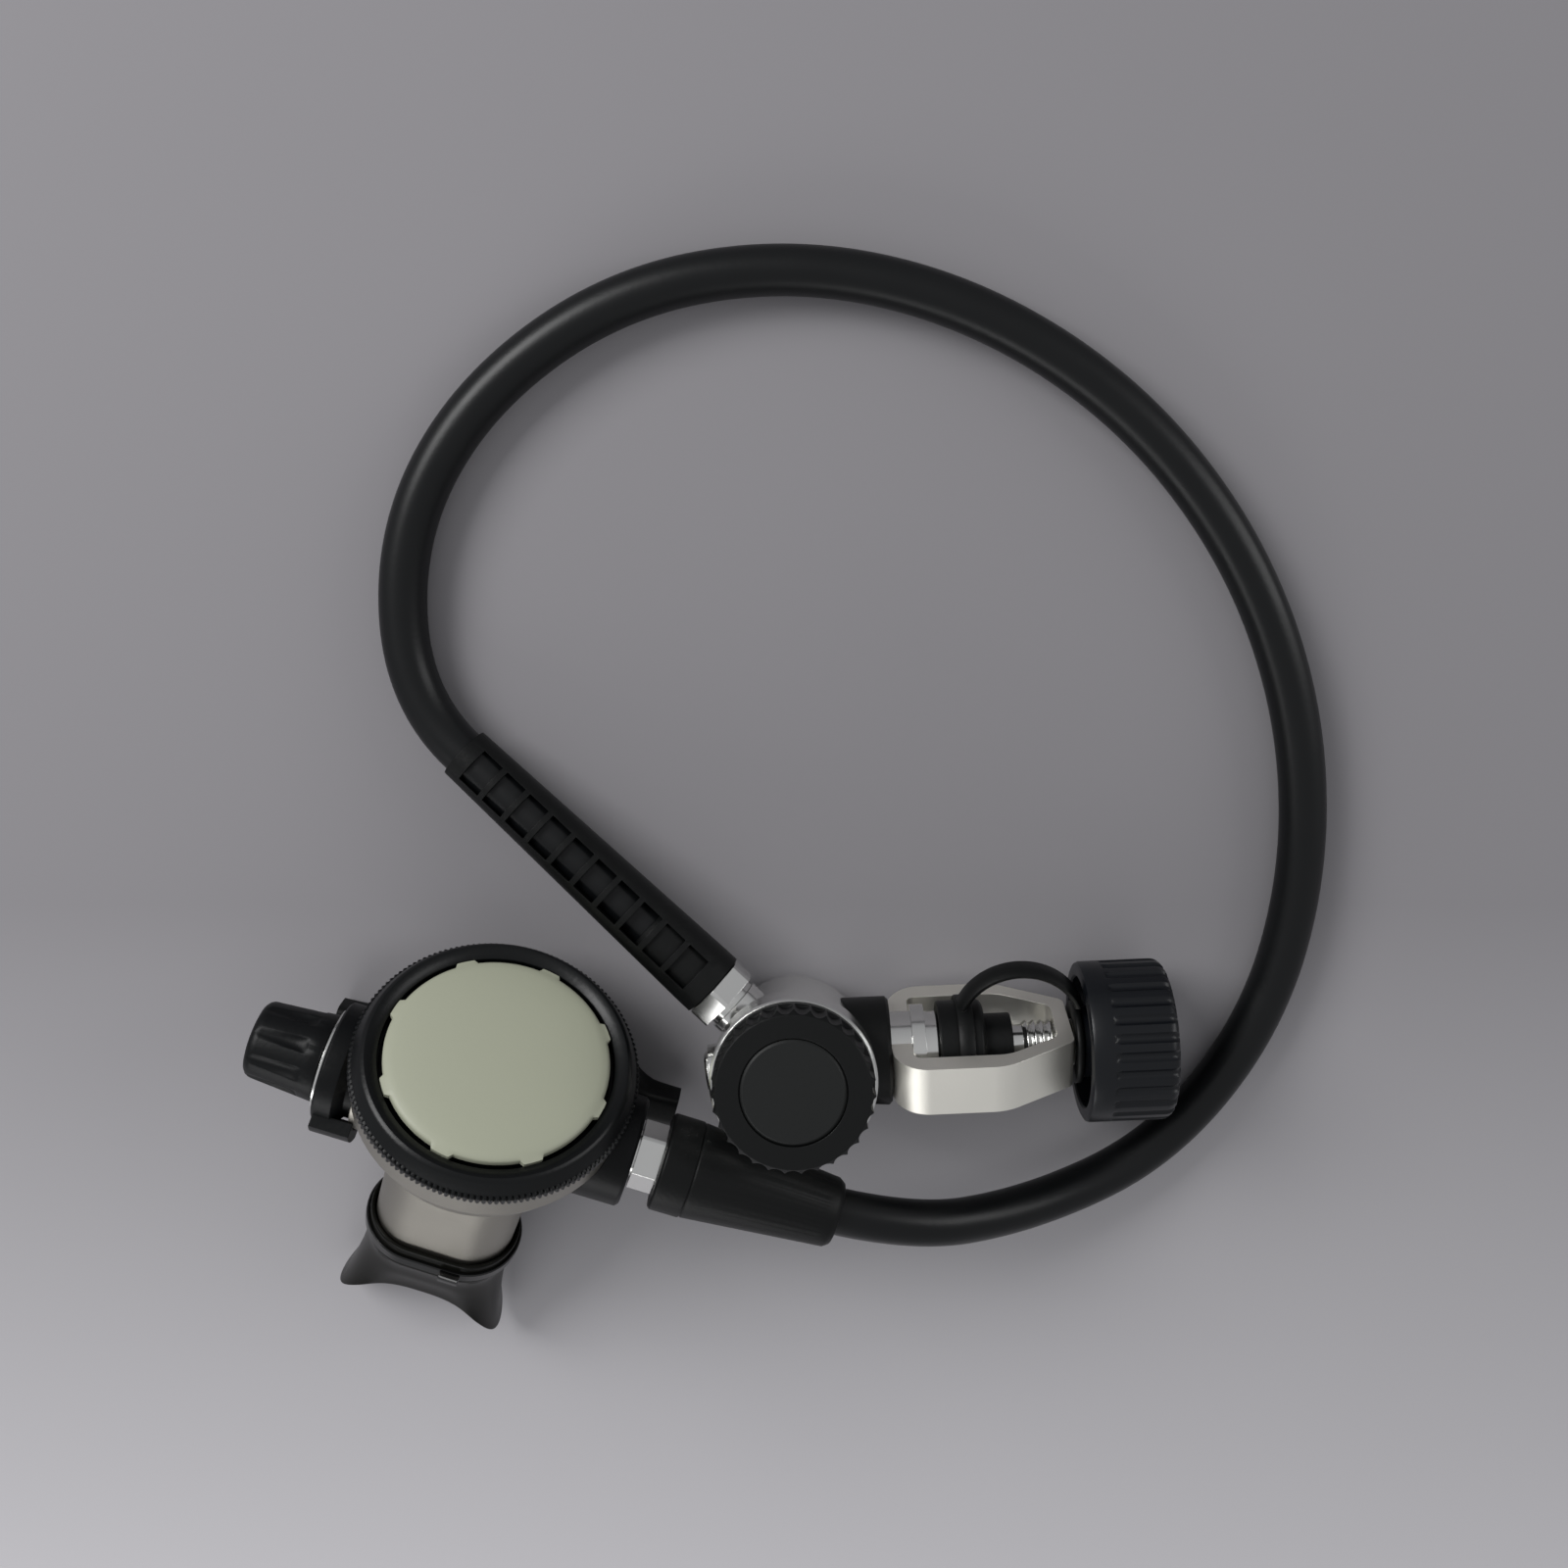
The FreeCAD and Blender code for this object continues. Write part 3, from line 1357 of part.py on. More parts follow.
dome = turned([
    (0, s.purge_dome),
    (s.purge_radius * 0.45, s.purge_dome - 0.3),
    (s.purge_radius * 0.8, s.purge_dome - 1.1),
    (s.purge_radius - 0.8, s.purge_dome - 2),
    (s.purge_radius, s.purge_dome - 2.8),
    (s.purge_radius, s.purge_edge),
    (s.purge_radius - 1.5, s.purge_edge),
    (s.purge_radius - 2, s.purge_dome - 1.1 - s.purge_wall),
    (s.purge_stem, s.purge_dome - s.purge_wall),
    (s.purge_stem, s.plate_web - s.fit * 5),
    (0, s.plate_web - s.fit * 5),
])
tabs = []
for number in range(SIZES["purge_tabs"]):
    tab_turn = Rotation(Vector(0, 0, 1), 360 / SIZES["purge_tabs"] * number + SIZES["purge_tab_phase"])
    tab = box(s.ring_bore - s.gap - s.purge_radius + 1, 6, 1.2, x=s.purge_radius - 1, y=-3, z=s.purge_edge)
    tabs.append(moved(tab, Placement(Vector(), tab_turn)))
tab_limit = cylinder(s.ring_bore - s.gap, 20, z=-10)
piece("purge_cover", common(fuse(dome, *tabs), tab_limit), SECOND)
piece(
    "purge_spring",
    coil("purge_spring", s.purge_stem + 1.4, s.purge_spring_wire, web_top + s.fit,
         s.purge_dome - s.purge_wall - s.fit * 4, s.purge_spring_turns),
    SECOND,
)


# Diaphragm of the second stage, with its stiff disc

rubber_top = s.plate_web - s.gap
rubber_bottom = rubber_top - 0.8
piece("demand_diaphragm", turned([
    (0, rubber_bottom),
    (s.disc_plate_radius + 4, rubber_bottom),
    (s.disc_plate_radius + 6, rubber_bottom - 1.6),
    (s.disc_plate_radius + 8, rubber_bottom - 1.6),
    (s.ledge_radius - 2, rubber_bottom),
    (s.ledge_radius - 1.4, s.ledge + s.fit),
    (s.inner_radius - s.gap, s.ledge + s.fit),
    (s.inner_radius - s.gap, s.ledge + 0.85),
    (s.ledge_radius - 1.6, s.ledge + 0.85),
    (s.ledge_radius - 3, rubber_top),
    (s.disc_plate_radius + 8, rubber_bottom - 0.8),
    (s.disc_plate_radius + 6, rubber_bottom - 0.8),
    (s.disc_plate_radius + 4, rubber_top),
    (0, rubber_top),
]), SECOND)
disc_top = rubber_bottom - s.fit
disc_bottom = disc_top - s.disc_plate_thickness
piece("diaphragm_disc", turned([
    (0, disc_bottom),
    (s.disc_plate_radius, disc_bottom),
    (s.disc_plate_radius, disc_top),
    (0, disc_top),
]), SECOND)


# Valve barrel across the case: it holds the orifice, poppet, spring and adjuster

barrel = turned([
    (s.barrel_bore, s.barrel_start),
    (s.barrel_radius, s.barrel_start),
    (s.barrel_radius, s.collar_start_x + 0.8),
    (s.hub_radius, s.collar_start_x + 0.8),
    (s.hub_radius, s.collar_end_x + s.fit),
    (s.barrel_bore, s.collar_end_x + s.fit),
])
lever_slot = box(
    s.barrel_radius + 2 + s.barrel_z - s.lever_foot_z + 0.8, s.lever_width + 0.8, 6.6,
    x=-s.barrel_radius - 2, y=-s.lever_width / 2 - 0.4, z=s.lever_x - 3.6,
)
piece("valve_barrel", cut(barrel, lever_slot), BARREL)
orifice_end = s.barrel_start + s.orifice_length
piece("inlet_orifice", turned([
    (1.8, s.barrel_start),
    (s.barrel_bore - s.fit, s.barrel_start),
    (s.barrel_bore - s.fit, orifice_end - 1.4),
    (3.2, orifice_end - 1.4),
    (2.6, orifice_end),
    (1.8, orifice_end),
]), BARREL)
oring_place = s.inlet_tube_end + 3
tube_groove = s.inlet_tube_radius - s.ring_section * 2
piece("inlet_tube", turned([
    (s.inlet_bore, s.inlet_tube_end),
    (s.inlet_tube_radius, s.inlet_tube_end),
    (s.inlet_tube_radius, oring_place - 0.9),
    (tube_groove, oring_place - 0.9),
    (tube_groove, oring_place + 0.9),
    (s.inlet_tube_radius, oring_place + 0.9),
    (s.inlet_tube_radius, s.barrel_start - s.fit),
    (s.inlet_bore, s.barrel_start - s.fit),
]), BARREL)
swivel_torus = torus(s.inlet_tube_radius - s.ring_section + s.fit / 2, s.ring_section, oring_place)
piece("swivel_ring", group(swivel_torus), BARREL)
cover = turned([
    (s.inlet_tube_radius + s.fit, s.end_cover_start),
    (s.end_cover_radius - 0.8, s.end_cover_start),
    (s.end_cover_radius, s.end_cover_start + 0.8),
    (s.end_cover_radius, s.end_cover_end),
    (s.barrel_radius + s.fit, s.end_cover_end),
    (s.barrel_radius + s.fit, s.barrel_start - s.fit * 2),
    (s.inlet_tube_radius + s.fit, s.barrel_start - s.fit * 2),
])
bowl_copy = turned(bowl_outline(s.fit) + [
    (s.case_radius + s.fit, s.ring_back - s.fit),
    (s.ring_radius + s.fit, s.ring_back - s.fit),
    (s.ring_radius + s.fit, 5),
    (0, 5),
])
cover_room = moved(bowl_copy, BARREL.inverse() * SECOND)
piece("barrel_end_cover", cut(cover, cover_room), BARREL)

head_end = orifice_end + s.fit + 3
washer_start = s.lever_x + 0.6 + s.fit
piece("demand_poppet", turned([
    (0, orifice_end + s.fit),
    (s.valve_head, orifice_end + s.fit),
    (s.valve_head, head_end),
    (s.valve_stem, head_end),
    (s.valve_stem, washer_start),
    (s.valve_head, washer_start),
    (s.valve_head, washer_start + 1.2),
    (s.valve_stem, washer_start + 1.2),
    (s.valve_stem, s.valve_stem_end - 1.2),
    (s.valve_head, s.valve_stem_end - 1.2),
    (s.valve_head, s.valve_stem_end),
    (0, s.valve_stem_end),
]), BARREL)
piece(
    "poppet_spring",
    coil("poppet_spring", s.valve_head - 0.6, s.valve_spring_wire, s.valve_stem_end + s.fit,
         s.piston_start - s.fit, s.valve_spring_turns),
    BARREL,
)
piece("adjuster_piston", turned([
    (0, s.piston_start),
    (s.barrel_bore - s.fit, s.piston_start),
    (s.barrel_bore - s.fit, s.piston_start + s.piston_length),
    (s.piston_stem, s.piston_start + s.piston_length),
    (s.piston_stem, s.piston_stem_end),
    (0, s.piston_stem_end),
]), BARREL)
nut_face = s.collar_end_x + s.fit * 2
piece("adjuster_nut", turned([
    (s.piston_stem + s.gap, nut_face - 5),
    (s.barrel_bore - s.fit, nut_face - 5),
    (s.barrel_bore - s.fit, nut_face),
    (s.adjuster_flange, nut_face),
    (s.adjuster_flange, nut_face + 0.7),
    (s.piston_stem + s.gap, nut_face + 0.7),
]), BARREL)


# Inhalation knob: black, tapering, with finger grooves and a hollow end

knob_face = s.inhalation_knob_start
knob_tip = knob_face + s.inhalation_knob_length
stem_room = s.piston_stem + s.fit
breath_knob = turned([
    (stem_room, knob_face),
    (s.inhalation_knob_radius - 0.6, knob_face),
    (s.inhalation_knob_radius, knob_face + 0.6),
    (s.inhalation_knob_radius - 1.4, knob_tip - 1.5),
    (s.inhalation_knob_radius - 2.8, knob_tip),
    (0, knob_tip),
    (0, s.piston_stem_end + 1),
    (stem_room, s.piston_stem_end + 1),
])
flute(
    breath_knob, s.finger_grooves, 2.4, s.inhalation_knob_radius + 0.9,
    knob_tip + 1, s.inhalation_knob_length - 2,
)
piece("inhalation_knob", breath_knob, BARREL)


# Venturi lever: a collar round the barrel's end with a thumb tab, and the flow vane that turns with it

lever_ring = turned([
    (s.barrel_radius + s.fit, s.collar_start_x),
    (s.lever_neck_radius, s.collar_start_x),
    (s.lever_neck_radius, s.lever_neck_end),
    (s.lever_radius, s.lever_shoulder),
    (s.lever_radius, s.collar_end_x - 0.6),
    (s.lever_radius - 0.6, s.collar_end_x),
    (s.hub_radius + s.gap, s.collar_end_x),
    (s.hub_radius + s.gap, s.collar_start_x + 0.5),
    (s.barrel_radius + s.fit, s.collar_start_x + 0.5),
])
tab_start = s.collar_start_x - 1.6
tab_height = s.collar_end_x - 0.7 - tab_start
tab = common(
    box(s.lever_tab_reach, s.lever_tab_width, tab_height, y=-s.lever_tab_width / 2, z=tab_start),
    cylinder(s.lever_tab_reach, tab_height, z=tab_start),
)
tab = cut(tab, cylinder(s.boss_outer + s.gap, tab_height + 2, z=tab_start - 1))
tab = moved(tab, Placement(Vector(), Rotation(Vector(0, 0, 1), s.lever_tab_angle.value - 90)))
piece("venturi_lever", fuse(lever_ring, tab), BARREL)
vane_bar = turned([
    (s.barrel_radius + s.fit, s.vane_start),
    (s.vane_sleeve, s.vane_start),
    (s.vane_sleeve, s.collar_start_x),
    (s.barrel_radius + s.fit, s.collar_start_x),
])
vane_leaf = box(s.vane_reach - s.vane_sleeve + 0.4, 1.2, 9, x=s.vane_sleeve - 0.4, y=-0.6, z=s.vane_start)
piece("flow_vane", fuse(vane_bar, vane_leaf), BARREL)


# Demand lever: a bent sheet fork that reaches from the barrel's slot to the diaphragm disc

tip_x = s.lever_x + s.lever_reach
tip_z = disc_bottom - s.fit
lever_body = doc.addObject("PartDesign::Body", "lever")
lever_outline = outline(lever_body, "XZ_Plane", [
    (s.lever_x - 0.6, s.lever_foot_z),
    (s.lever_x + 0.6, s.lever_foot_z),
    (s.lever_x + 0.6, s.lever_bend_z),
    (tip_x, tip_z - s.lever_sheet),
    (tip_x, tip_z),
    (tip_x - 1.2, tip_z),
    (s.lever_x - 0.6, s.lever_bend_z + s.lever_sheet),
])
lever_pad = lever_body.newObject("PartDesign::Pad", "pad")
lever_pad.Profile = lever_outline
lever_pad.Midplane = True
bind(lever_pad, Length=s.lever_width)
fork_room = box(4, s.lever_width - s.lever_sheet * 2, 14, x=s.lever_x - 2,
                y=s.lever_sheet - s.lever_width / 2, z=s.lever_bend_z - 14)
lever_feet = cylinder(0.6, s.lever_width, x=s.lever_x, y=-s.lever_width / 2, z=s.lever_foot_z, turn=ALONG_Y)
lever_shift = Placement(Vector(0, s.barrel_y.value, 0), Rotation())
piece("demand_lever", cut(fuse(lever_body, lever_feet), fork_room), SECOND * lever_shift)


# Exhaust: a rubber mushroom valve under its seat, and the tee that leads the bubbles to both sides

piece("exhaust_valve", turned([
    (0, -5),
    (1.2, -5),
    (1.2, s.fit),
    (s.exhaust_valve_radius, s.fit),
    (s.exhaust_valve_radius, s.fit + 0.5),
    (2, s.fit + 1.2),
    (0, s.fit + 1.2),
]), EXHAUST)

side_tilt = abs(EXHAUST.Rotation.multVec(Vector(1, 0, 0)).z)
tee_floor = s.seat_height.value - s.tee_wing.value * side_tilt - 0.1


def tee_section(x, back, front, roof, floor, wall):
    """One eight sided section of the tee, wall thicker or thinner than its outside."""
    edge = 2.4
    low_y, high_y = back + wall, front - wall
    low_z, high_z = roof + wall, floor - wall
    corners = [
        (low_y + edge, low_z), (high_y - edge, low_z), (high_y, low_z + edge), (high_y, high_z - edge),
        (high_y - edge, high_z), (low_y + edge, high_z), (low_y, high_z - edge), (low_y, low_z + edge),
    ]
    points = [Vector(x, y, z) for y, z in corners]
    return Part.makePolygon(points + [points[0]])


def tee_solid(wall, stretch):
    half = s.tee_half_width.value
    elbow = s.tee_wing.value
    tip = (-16.5, -7.5, 3.0, tee_floor - 1.2)
    wing = (-16.0, -4.5, 1.5, tee_floor)
    middle = (-15.0, 14.0, 0.05, tee_floor)
    shape = [
        (-half - stretch, *tip),
        (-elbow, *wing),
        (-elbow / 2, *middle),
        (elbow / 2, *middle),
        (elbow, *wing),
        (half + stretch, *tip),
    ]
    return Part.makeLoft([tee_section(*row, wall) for row in shape], True, True)


tee_outside = doc.addObject("Part::Feature", "tee_outside")
tee_outside.Shape = tee_solid(0, 0)
tee_inside = doc.addObject("Part::Feature", "tee_inside")
tee_inside.Shape = tee_solid(s.tee_wall.value, 0.5)
tee_mouth = cylinder(s.tee_mouth, 6, z=-1)
tee_twist = Placement(Vector(), Rotation(Vector(0, 0, 1), -s.tee_twist.value))
piece("exhaust_tee", cut(tee_outside, tee_inside, tee_mouth), EXHAUST * tee_twist)


# Mouthpiece: soft rubber over the oval tube, flaring to a hollowed flange with two bite tabs, held by a tie

sleeve_half_width = s.tube_half_width + s.gap + s.mouth_sleeve_wall
sleeve_half_height = s.tube_half_height + s.gap + s.mouth_sleeve_wall
mouth_outside = loft(
    ellipse(sleeve_half_width - 0.5, sleeve_half_height - 0.5, s.tube_length + s.gap * 2),
    ellipse(s.tube_half_width, s.tube_half_height - 0.5, s.mouth_neck),
    ellipse(s.mouth_half_width - 3, s.mouth_half_height + 0.8, s.mouth_end - 14),
    ellipse(s.mouth_half_width, s.mouth_half_height, s.mouth_end),
)
mouth_inside = loft(
    ellipse(s.tube_half_width - 1, s.tube_half_height - 1, s.tube_length),
    ellipse(s.tube_half_width - 2.4, s.tube_half_height - 2.9, s.mouth_neck),
    ellipse(s.mouth_half_width - 5.4, s.mouth_half_height - 1.4, s.mouth_end - 14),
    ellipse(s.mouth_half_width - 2.2, s.mouth_half_height - 2.2, s.mouth_end + 0.2),
)
mouth_sleeve = cut(
    oval(sleeve_half_width, sleeve_half_height, s.mouth_sleeve_start, s.mouth_bead_end),
    oval(s.tube_half_width + s.gap, s.tube_half_height + s.gap,
         s.mouth_sleeve_start - 1, s.tube_length + s.gap),
    oval(s.tube_half_width - 0.4, s.tube_half_height - 0.4, s.tube_length, s.mouth_bead_end + 1),
)
hollow = cylinder(
    s.mouth_hollow_radius, 60, y=-30, z=s.mouth_hollow_depth + s.mouth_hollow_radius, turn=ALONG_Y,
)
bite_start = s.mouth_hollow_depth + 0.5
bite_x = s.mouth_half_width - 9.2
bite_tabs = [
    box(2.6, 7, s.bite_tab_length, x=side * bite_x - 1.3, y=-3.5, z=bite_start)
    for side in (-1, 1)
]
bite_roots = [
    box(5, 5, 4, x=bite_x - 1, y=-2.5, z=bite_start - 1),
    box(5, 5, 4, x=-bite_x - 4, y=-2.5, z=bite_start - 1),
]
mouth_shell = cut(mouth_outside, mouth_inside, hollow)
piece("mouthpiece", fuse(mouth_sleeve, mouth_shell, *bite_tabs, *bite_roots), MOUTH)
tie_start = s.mouth_sleeve_start + 3
piece("mouthpiece_tie", fuse(
    cut(
        oval(sleeve_half_width + s.fit + s.tie_thickness, sleeve_half_height + s.fit + s.tie_thickness,
             tie_start, tie_start + s.tie_width),
        oval(sleeve_half_width + s.fit, sleeve_half_height + s.fit,
             tie_start - 1, tie_start + s.tie_width + 1),
    ),
    box(6, 2.4, s.tie_width, x=-9, y=-sleeve_half_height - s.fit - 2.4, z=tie_start),
), MOUTH)


# Check every object and piece, then write the files

doc.recompute()
failed = [item.Label for item in doc.Objects if {"Invalid", "Error"} & set(item.State)]
if failed:
    raise RuntimeError(f"failed objects: {failed}")
for item in pieces:
    if item.Shape.isNull() or not item.Shape.isValid() or not item.Shape.Solids:
        raise RuntimeError(f"bad shape: {item.Label}")
for item in pieces:
    item.Shape.exportStep(f"parts/{item.Label}.step")
print(len(pieces), "pieces written")
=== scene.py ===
import json
import math

import bmesh
import bpy
from mathutils import Matrix, Vector


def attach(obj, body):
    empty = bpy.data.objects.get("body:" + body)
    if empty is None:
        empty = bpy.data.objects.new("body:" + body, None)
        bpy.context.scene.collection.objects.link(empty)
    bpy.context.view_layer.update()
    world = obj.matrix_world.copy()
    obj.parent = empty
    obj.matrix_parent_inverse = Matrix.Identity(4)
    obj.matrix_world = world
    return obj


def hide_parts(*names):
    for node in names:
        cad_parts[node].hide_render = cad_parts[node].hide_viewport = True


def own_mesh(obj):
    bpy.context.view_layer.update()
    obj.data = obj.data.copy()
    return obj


# Scuba regulator set, dressed on its imported frame. Sizes are millimetres, and MM turns them to metres.
# Only the table's painted light and shade and the studio are given in metres.

MM = 0.001
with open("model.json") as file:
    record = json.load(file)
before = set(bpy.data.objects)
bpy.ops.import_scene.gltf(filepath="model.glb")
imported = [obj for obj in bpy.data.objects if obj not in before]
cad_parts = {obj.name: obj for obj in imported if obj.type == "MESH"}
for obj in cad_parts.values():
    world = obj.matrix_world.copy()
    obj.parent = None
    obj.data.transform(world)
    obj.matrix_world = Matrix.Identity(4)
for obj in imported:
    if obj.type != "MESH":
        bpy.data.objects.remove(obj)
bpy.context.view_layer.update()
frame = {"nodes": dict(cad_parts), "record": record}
nodes = frame["nodes"]
body_of = {node: body for body, group in frame["record"]["behaviour"]["bodies"].items() for node in group}


# Camera: the photograph's own place and lens. It stands high over the table, above the hose's loop,
# and looks down and a little towards the mouthpiece.

CAMERA_PLACE = Vector((17.35, 204.1, 389.5))
CAMERA_TILT = -15.9
LENS = 36
SENSOR_WIDTH = 36
camera_data = bpy.data.cameras.new("camera")
camera_data.lens = LENS
camera_data.sensor_width = SENSOR_WIDTH
camera_data.clip_start = 0.01
camera = bpy.data.objects.new("camera", camera_data)
camera.location = CAMERA_PLACE * MM
camera.rotation_euler = (math.radians(CAMERA_TILT), 0, 0)
bpy.context.scene.collection.objects.link(camera)
bpy.context.scene.camera = camera
bpy.context.scene.view_settings.view_transform = "Standard"


# Hose: black rubber over a braid, crimped into a ferrule at each stage. It leaves the first stage's port
# through the sleeve, lies on the table in one loop and rises to the second stage's boot.

HOSE_DIAMETER = 11.8
HOSE_ROUTE = [
    (-16.53, 61.65, 19.55),
    (-50.03, 92.32, 12.22),
    (-76.24, 116.32, 6.48),
    (-76.8, 156.1, 5.95),
    (-57.9, 189.4, 5.95),
    (-22.7, 214.0, 5.95),
    (18.8, 221.1, 5.95),
    (60.4, 212.6, 5.95),
    (99.1, 189.7, 5.95),
    (128.7, 155.7, 5.95),
    (146.7, 115.0, 5.95),
    (152.0, 71.1, 5.95),
    (144.2, 28.7, 5.95),
    (119.7, -7.0, 7.6),
    (82.7, -19.6, 18.6),
    (45.71, -14.0, 38.09),
    (15.3, -4.06, 37.32),
]
GRAIN_SCALE = 900
GRAIN_DEPTH = 0.4
CLOUD_SCALE = 60
LEAST_ROUGHNESS = 0.03


def finish_of(name, color, rough, metal=0.0, gloss=0.5, grain=0.0, cloud=0.0, edge=0.0):
    """A surface in linear colour, with fine grain, uneven gloss and softened edges where it asks for them."""
    mat = bpy.data.materials.new(name)
    mat.use_nodes = True
    tree = mat.node_tree
    shader = tree.nodes["Principled BSDF"]
    shader.inputs["Base Color"].default_value = (*color, 1)
    shader.inputs["Roughness"].default_value = rough
    shader.inputs["Metallic"].default_value = metal
    shader.inputs["Specular IOR Level"].default_value = gloss
    place = tree.nodes.new("ShaderNodeTexCoord")
    normal = None
    if edge:
        soft = tree.nodes.new("ShaderNodeBevel")
        soft.inputs["Radius"].default_value = edge * MM
        normal = soft.outputs["Normal"]
    if grain:
        speck = tree.nodes.new("ShaderNodeTexNoise")
        speck.inputs["Scale"].default_value = GRAIN_SCALE
        speck.inputs["Detail"].default_value = 3
        tree.links.new(place.outputs["Object"], speck.inputs["Vector"])
        lift = tree.nodes.new("ShaderNodeBump")
        lift.inputs["Strength"].default_value = grain
        lift.inputs["Distance"].default_value = GRAIN_DEPTH * MM
        tree.links.new(speck.outputs["Fac"], lift.inputs["Height"])
        if normal:
            tree.links.new(normal, lift.inputs["Normal"])
        normal = lift.outputs["Normal"]
    if normal:
        tree.links.new(normal, shader.inputs["Normal"])
    if cloud:
        patch = tree.nodes.new("ShaderNodeTexNoise")
        patch.inputs["Scale"].default_value = CLOUD_SCALE
        patch.inputs["Detail"].default_value = 4
        tree.links.new(place.outputs["Object"], patch.inputs["Vector"])
        span = tree.nodes.new("ShaderNodeMapRange")
        span.inputs["To Min"].default_value = max(LEAST_ROUGHNESS, rough - cloud)
        span.inputs["To Max"].default_value = rough + cloud
        tree.links.new(patch.outputs["Fac"], span.inputs["Value"])
        tree.links.new(span.outputs["Result"], shader.inputs["Roughness"])
    return mat


def stand_for(item, mat, node):
    """Gives a new piece its material and the body of the node it stands for, and hides the node."""
    bpy.context.scene.collection.objects.link(item)
    item.data.materials.clear()
    item.data.materials.append(mat)
    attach(item, body_of[node])
    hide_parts(node)
    return item


hose_rubber = finish_of("hose_rubber", (0.0024, 0.0028, 0.0032), 0.36, gloss=0.28, grain=0.06, cloud=0.07)
hose_curve = bpy.data.curves.new("hose_line", "CURVE")
hose_curve.dimensions = "3D"
hose_curve.bevel_depth = HOSE_DIAMETER / 2 * MM
hose_curve.bevel_resolution = 10
hose_curve.use_fill_caps = True
hose_curve.resolution_u = 16
hose_spline = hose_curve.splines.new("NURBS")
hose_spline.points.add(len(HOSE_ROUTE) - 1)
for point, place in zip(hose_spline.points, HOSE_ROUTE):
    point.co = (*(Vector(place) * MM), 1)
hose_spline.order_u = 3
hose_spline.use_endpoint_u = True
hose = stand_for(bpy.data.objects.new("hose_line", hose_curve), hose_rubber, "hose")


# Sleeve, ferrules and fitting: a long moulded rubber tube with rows of windows slides over the hose's end.
# Under it a blackened ferrule grips the hose, and a chromed fitting with a hexagon screws into the port.

def rotated(degrees, axis):
    """A turn about one of the three axes."""
    return Matrix.Rotation(math.radians(degrees), 4, axis)


def at(x, y, z):
    """A move."""
    return Matrix.Translation((x, y, z))


def dress(mat, *names):
    """Gives CAD nodes their material."""
    for name in names:
        nodes[name].data.materials.clear()
        nodes[name].data.materials.append(mat)


def object_from(shape, name, angle):
    """Makes a finished shape an object, shaded smooth across its edges of less than angle."""
    mesh = bpy.data.meshes.new(name)
    shape.to_mesh(mesh)
    shape.free()
    for face in mesh.polygons:
        face.use_smooth = True
    mesh.set_sharp_from_angle(angle=math.radians(angle))
    return bpy.data.objects.new(name, mesh)


def merged_copy(node, angle=32):
    """A copy of a node with its loose triangles merged to whole faces."""
    shape = bmesh.new()
    shape.from_mesh(nodes[node].data)
    bmesh.ops.remove_doubles(shape, verts=shape.verts, dist=0.002 * MM)
    bmesh.ops.dissolve_limit(shape, angle_limit=math.radians(0.5), verts=shape.verts, edges=shape.edges)
    return object_from(shape, node + "_copy", angle)


def eased_copy(node, mat, width, angle=32, segments=3):
    """A copy of a node with its sharp edges rounded off, as the real piece's are."""
    item = merged_copy(node, angle)
    rounding = item.modifiers.new("rounding", "BEVEL")
    rounding.width = width * MM
    rounding.segments = segments
    rounding.limit_method = "ANGLE"
    rounding.angle_limit = math.radians(angle)
    rounding.use_clamp_overlap = True
    rounding.miter_outer = "MITER_ARC"
    return stand_for(item, mat, node)


FIRST = at(19.95, 26.7, 20.4) @ rotated(2.8, "Z") @ rotated(-12.8, "X")
black_rubber = finish_of("black_rubber", (0.0024, 0.0027, 0.0027), 0.46, gloss=0.20, grain=0.16, edge=0.25)
chrome = finish_of("chrome", (0.74, 0.74, 0.72), 0.18, metal=1.0, cloud=0.04, edge=0.2)
sleeve = eased_copy("hose_sleeve", black_rubber, 0.3, segments=2)
dress(black_rubber, "hose_ferrule")
dress(chrome, "hose_fitting", "swivel_ferrule")


# Boot and swivel: the boot is a stiff black rubber cone with a step where its collar ends. It slides over
# the second ferrule, and the chromed swivel nut behind it turns on the second stage's inlet tube.

boot = eased_copy("hose_boot", black_rubber, 0.4)
dress(chrome, "swivel_nut")


# First stage body: brass, turned and chromed, with the diaphragm clamp screwed over it as a bright ring.
# Its spare ports are closed by chromed plugs with a hexagon socket.

dress(chrome, "first_stage_body", "diaphragm_clamp", "left_port_plug", "right_port_plug", "high_port_plug")


# Inside the first stage: brass valve pieces, steel springs, and a rubber diaphragm with its seals. They are
# dropped in from both ends and don't show from outside.

brass = finish_of("brass", (0.66, 0.47, 0.18), 0.26, metal=1.0, cloud=0.05)
spring_steel = finish_of("spring_steel", (0.56, 0.56, 0.55), 0.24, metal=1.0)
seal_rubber = finish_of("seal_rubber", (0.012, 0.012, 0.012), 0.5)
dress(brass, "balance_plug", "adjusting_screw", "lift_plate", "high_pressure_poppet", "valve_seat")
dress(spring_steel, "main_spring", "lift_pin")
dress(seal_rubber, "balance_plug_ring", "retainer_ring", "swivel_ring", "outer_seal")


def yielding_copy(node, mat):
    """A copy of a spring or a soft disc, given a mesh of its own."""
    copy = stand_for(merged_copy(node), mat, node)
    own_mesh(copy)


yielding_copy("poppet_return_spring", spring_steel)
yielding_copy("first_stage_diaphragm", seal_rubber)


# End cap: black moulding with scallops for grip, screwed over the clamp. A plain dark disc is pressed into
# the recess of its face.

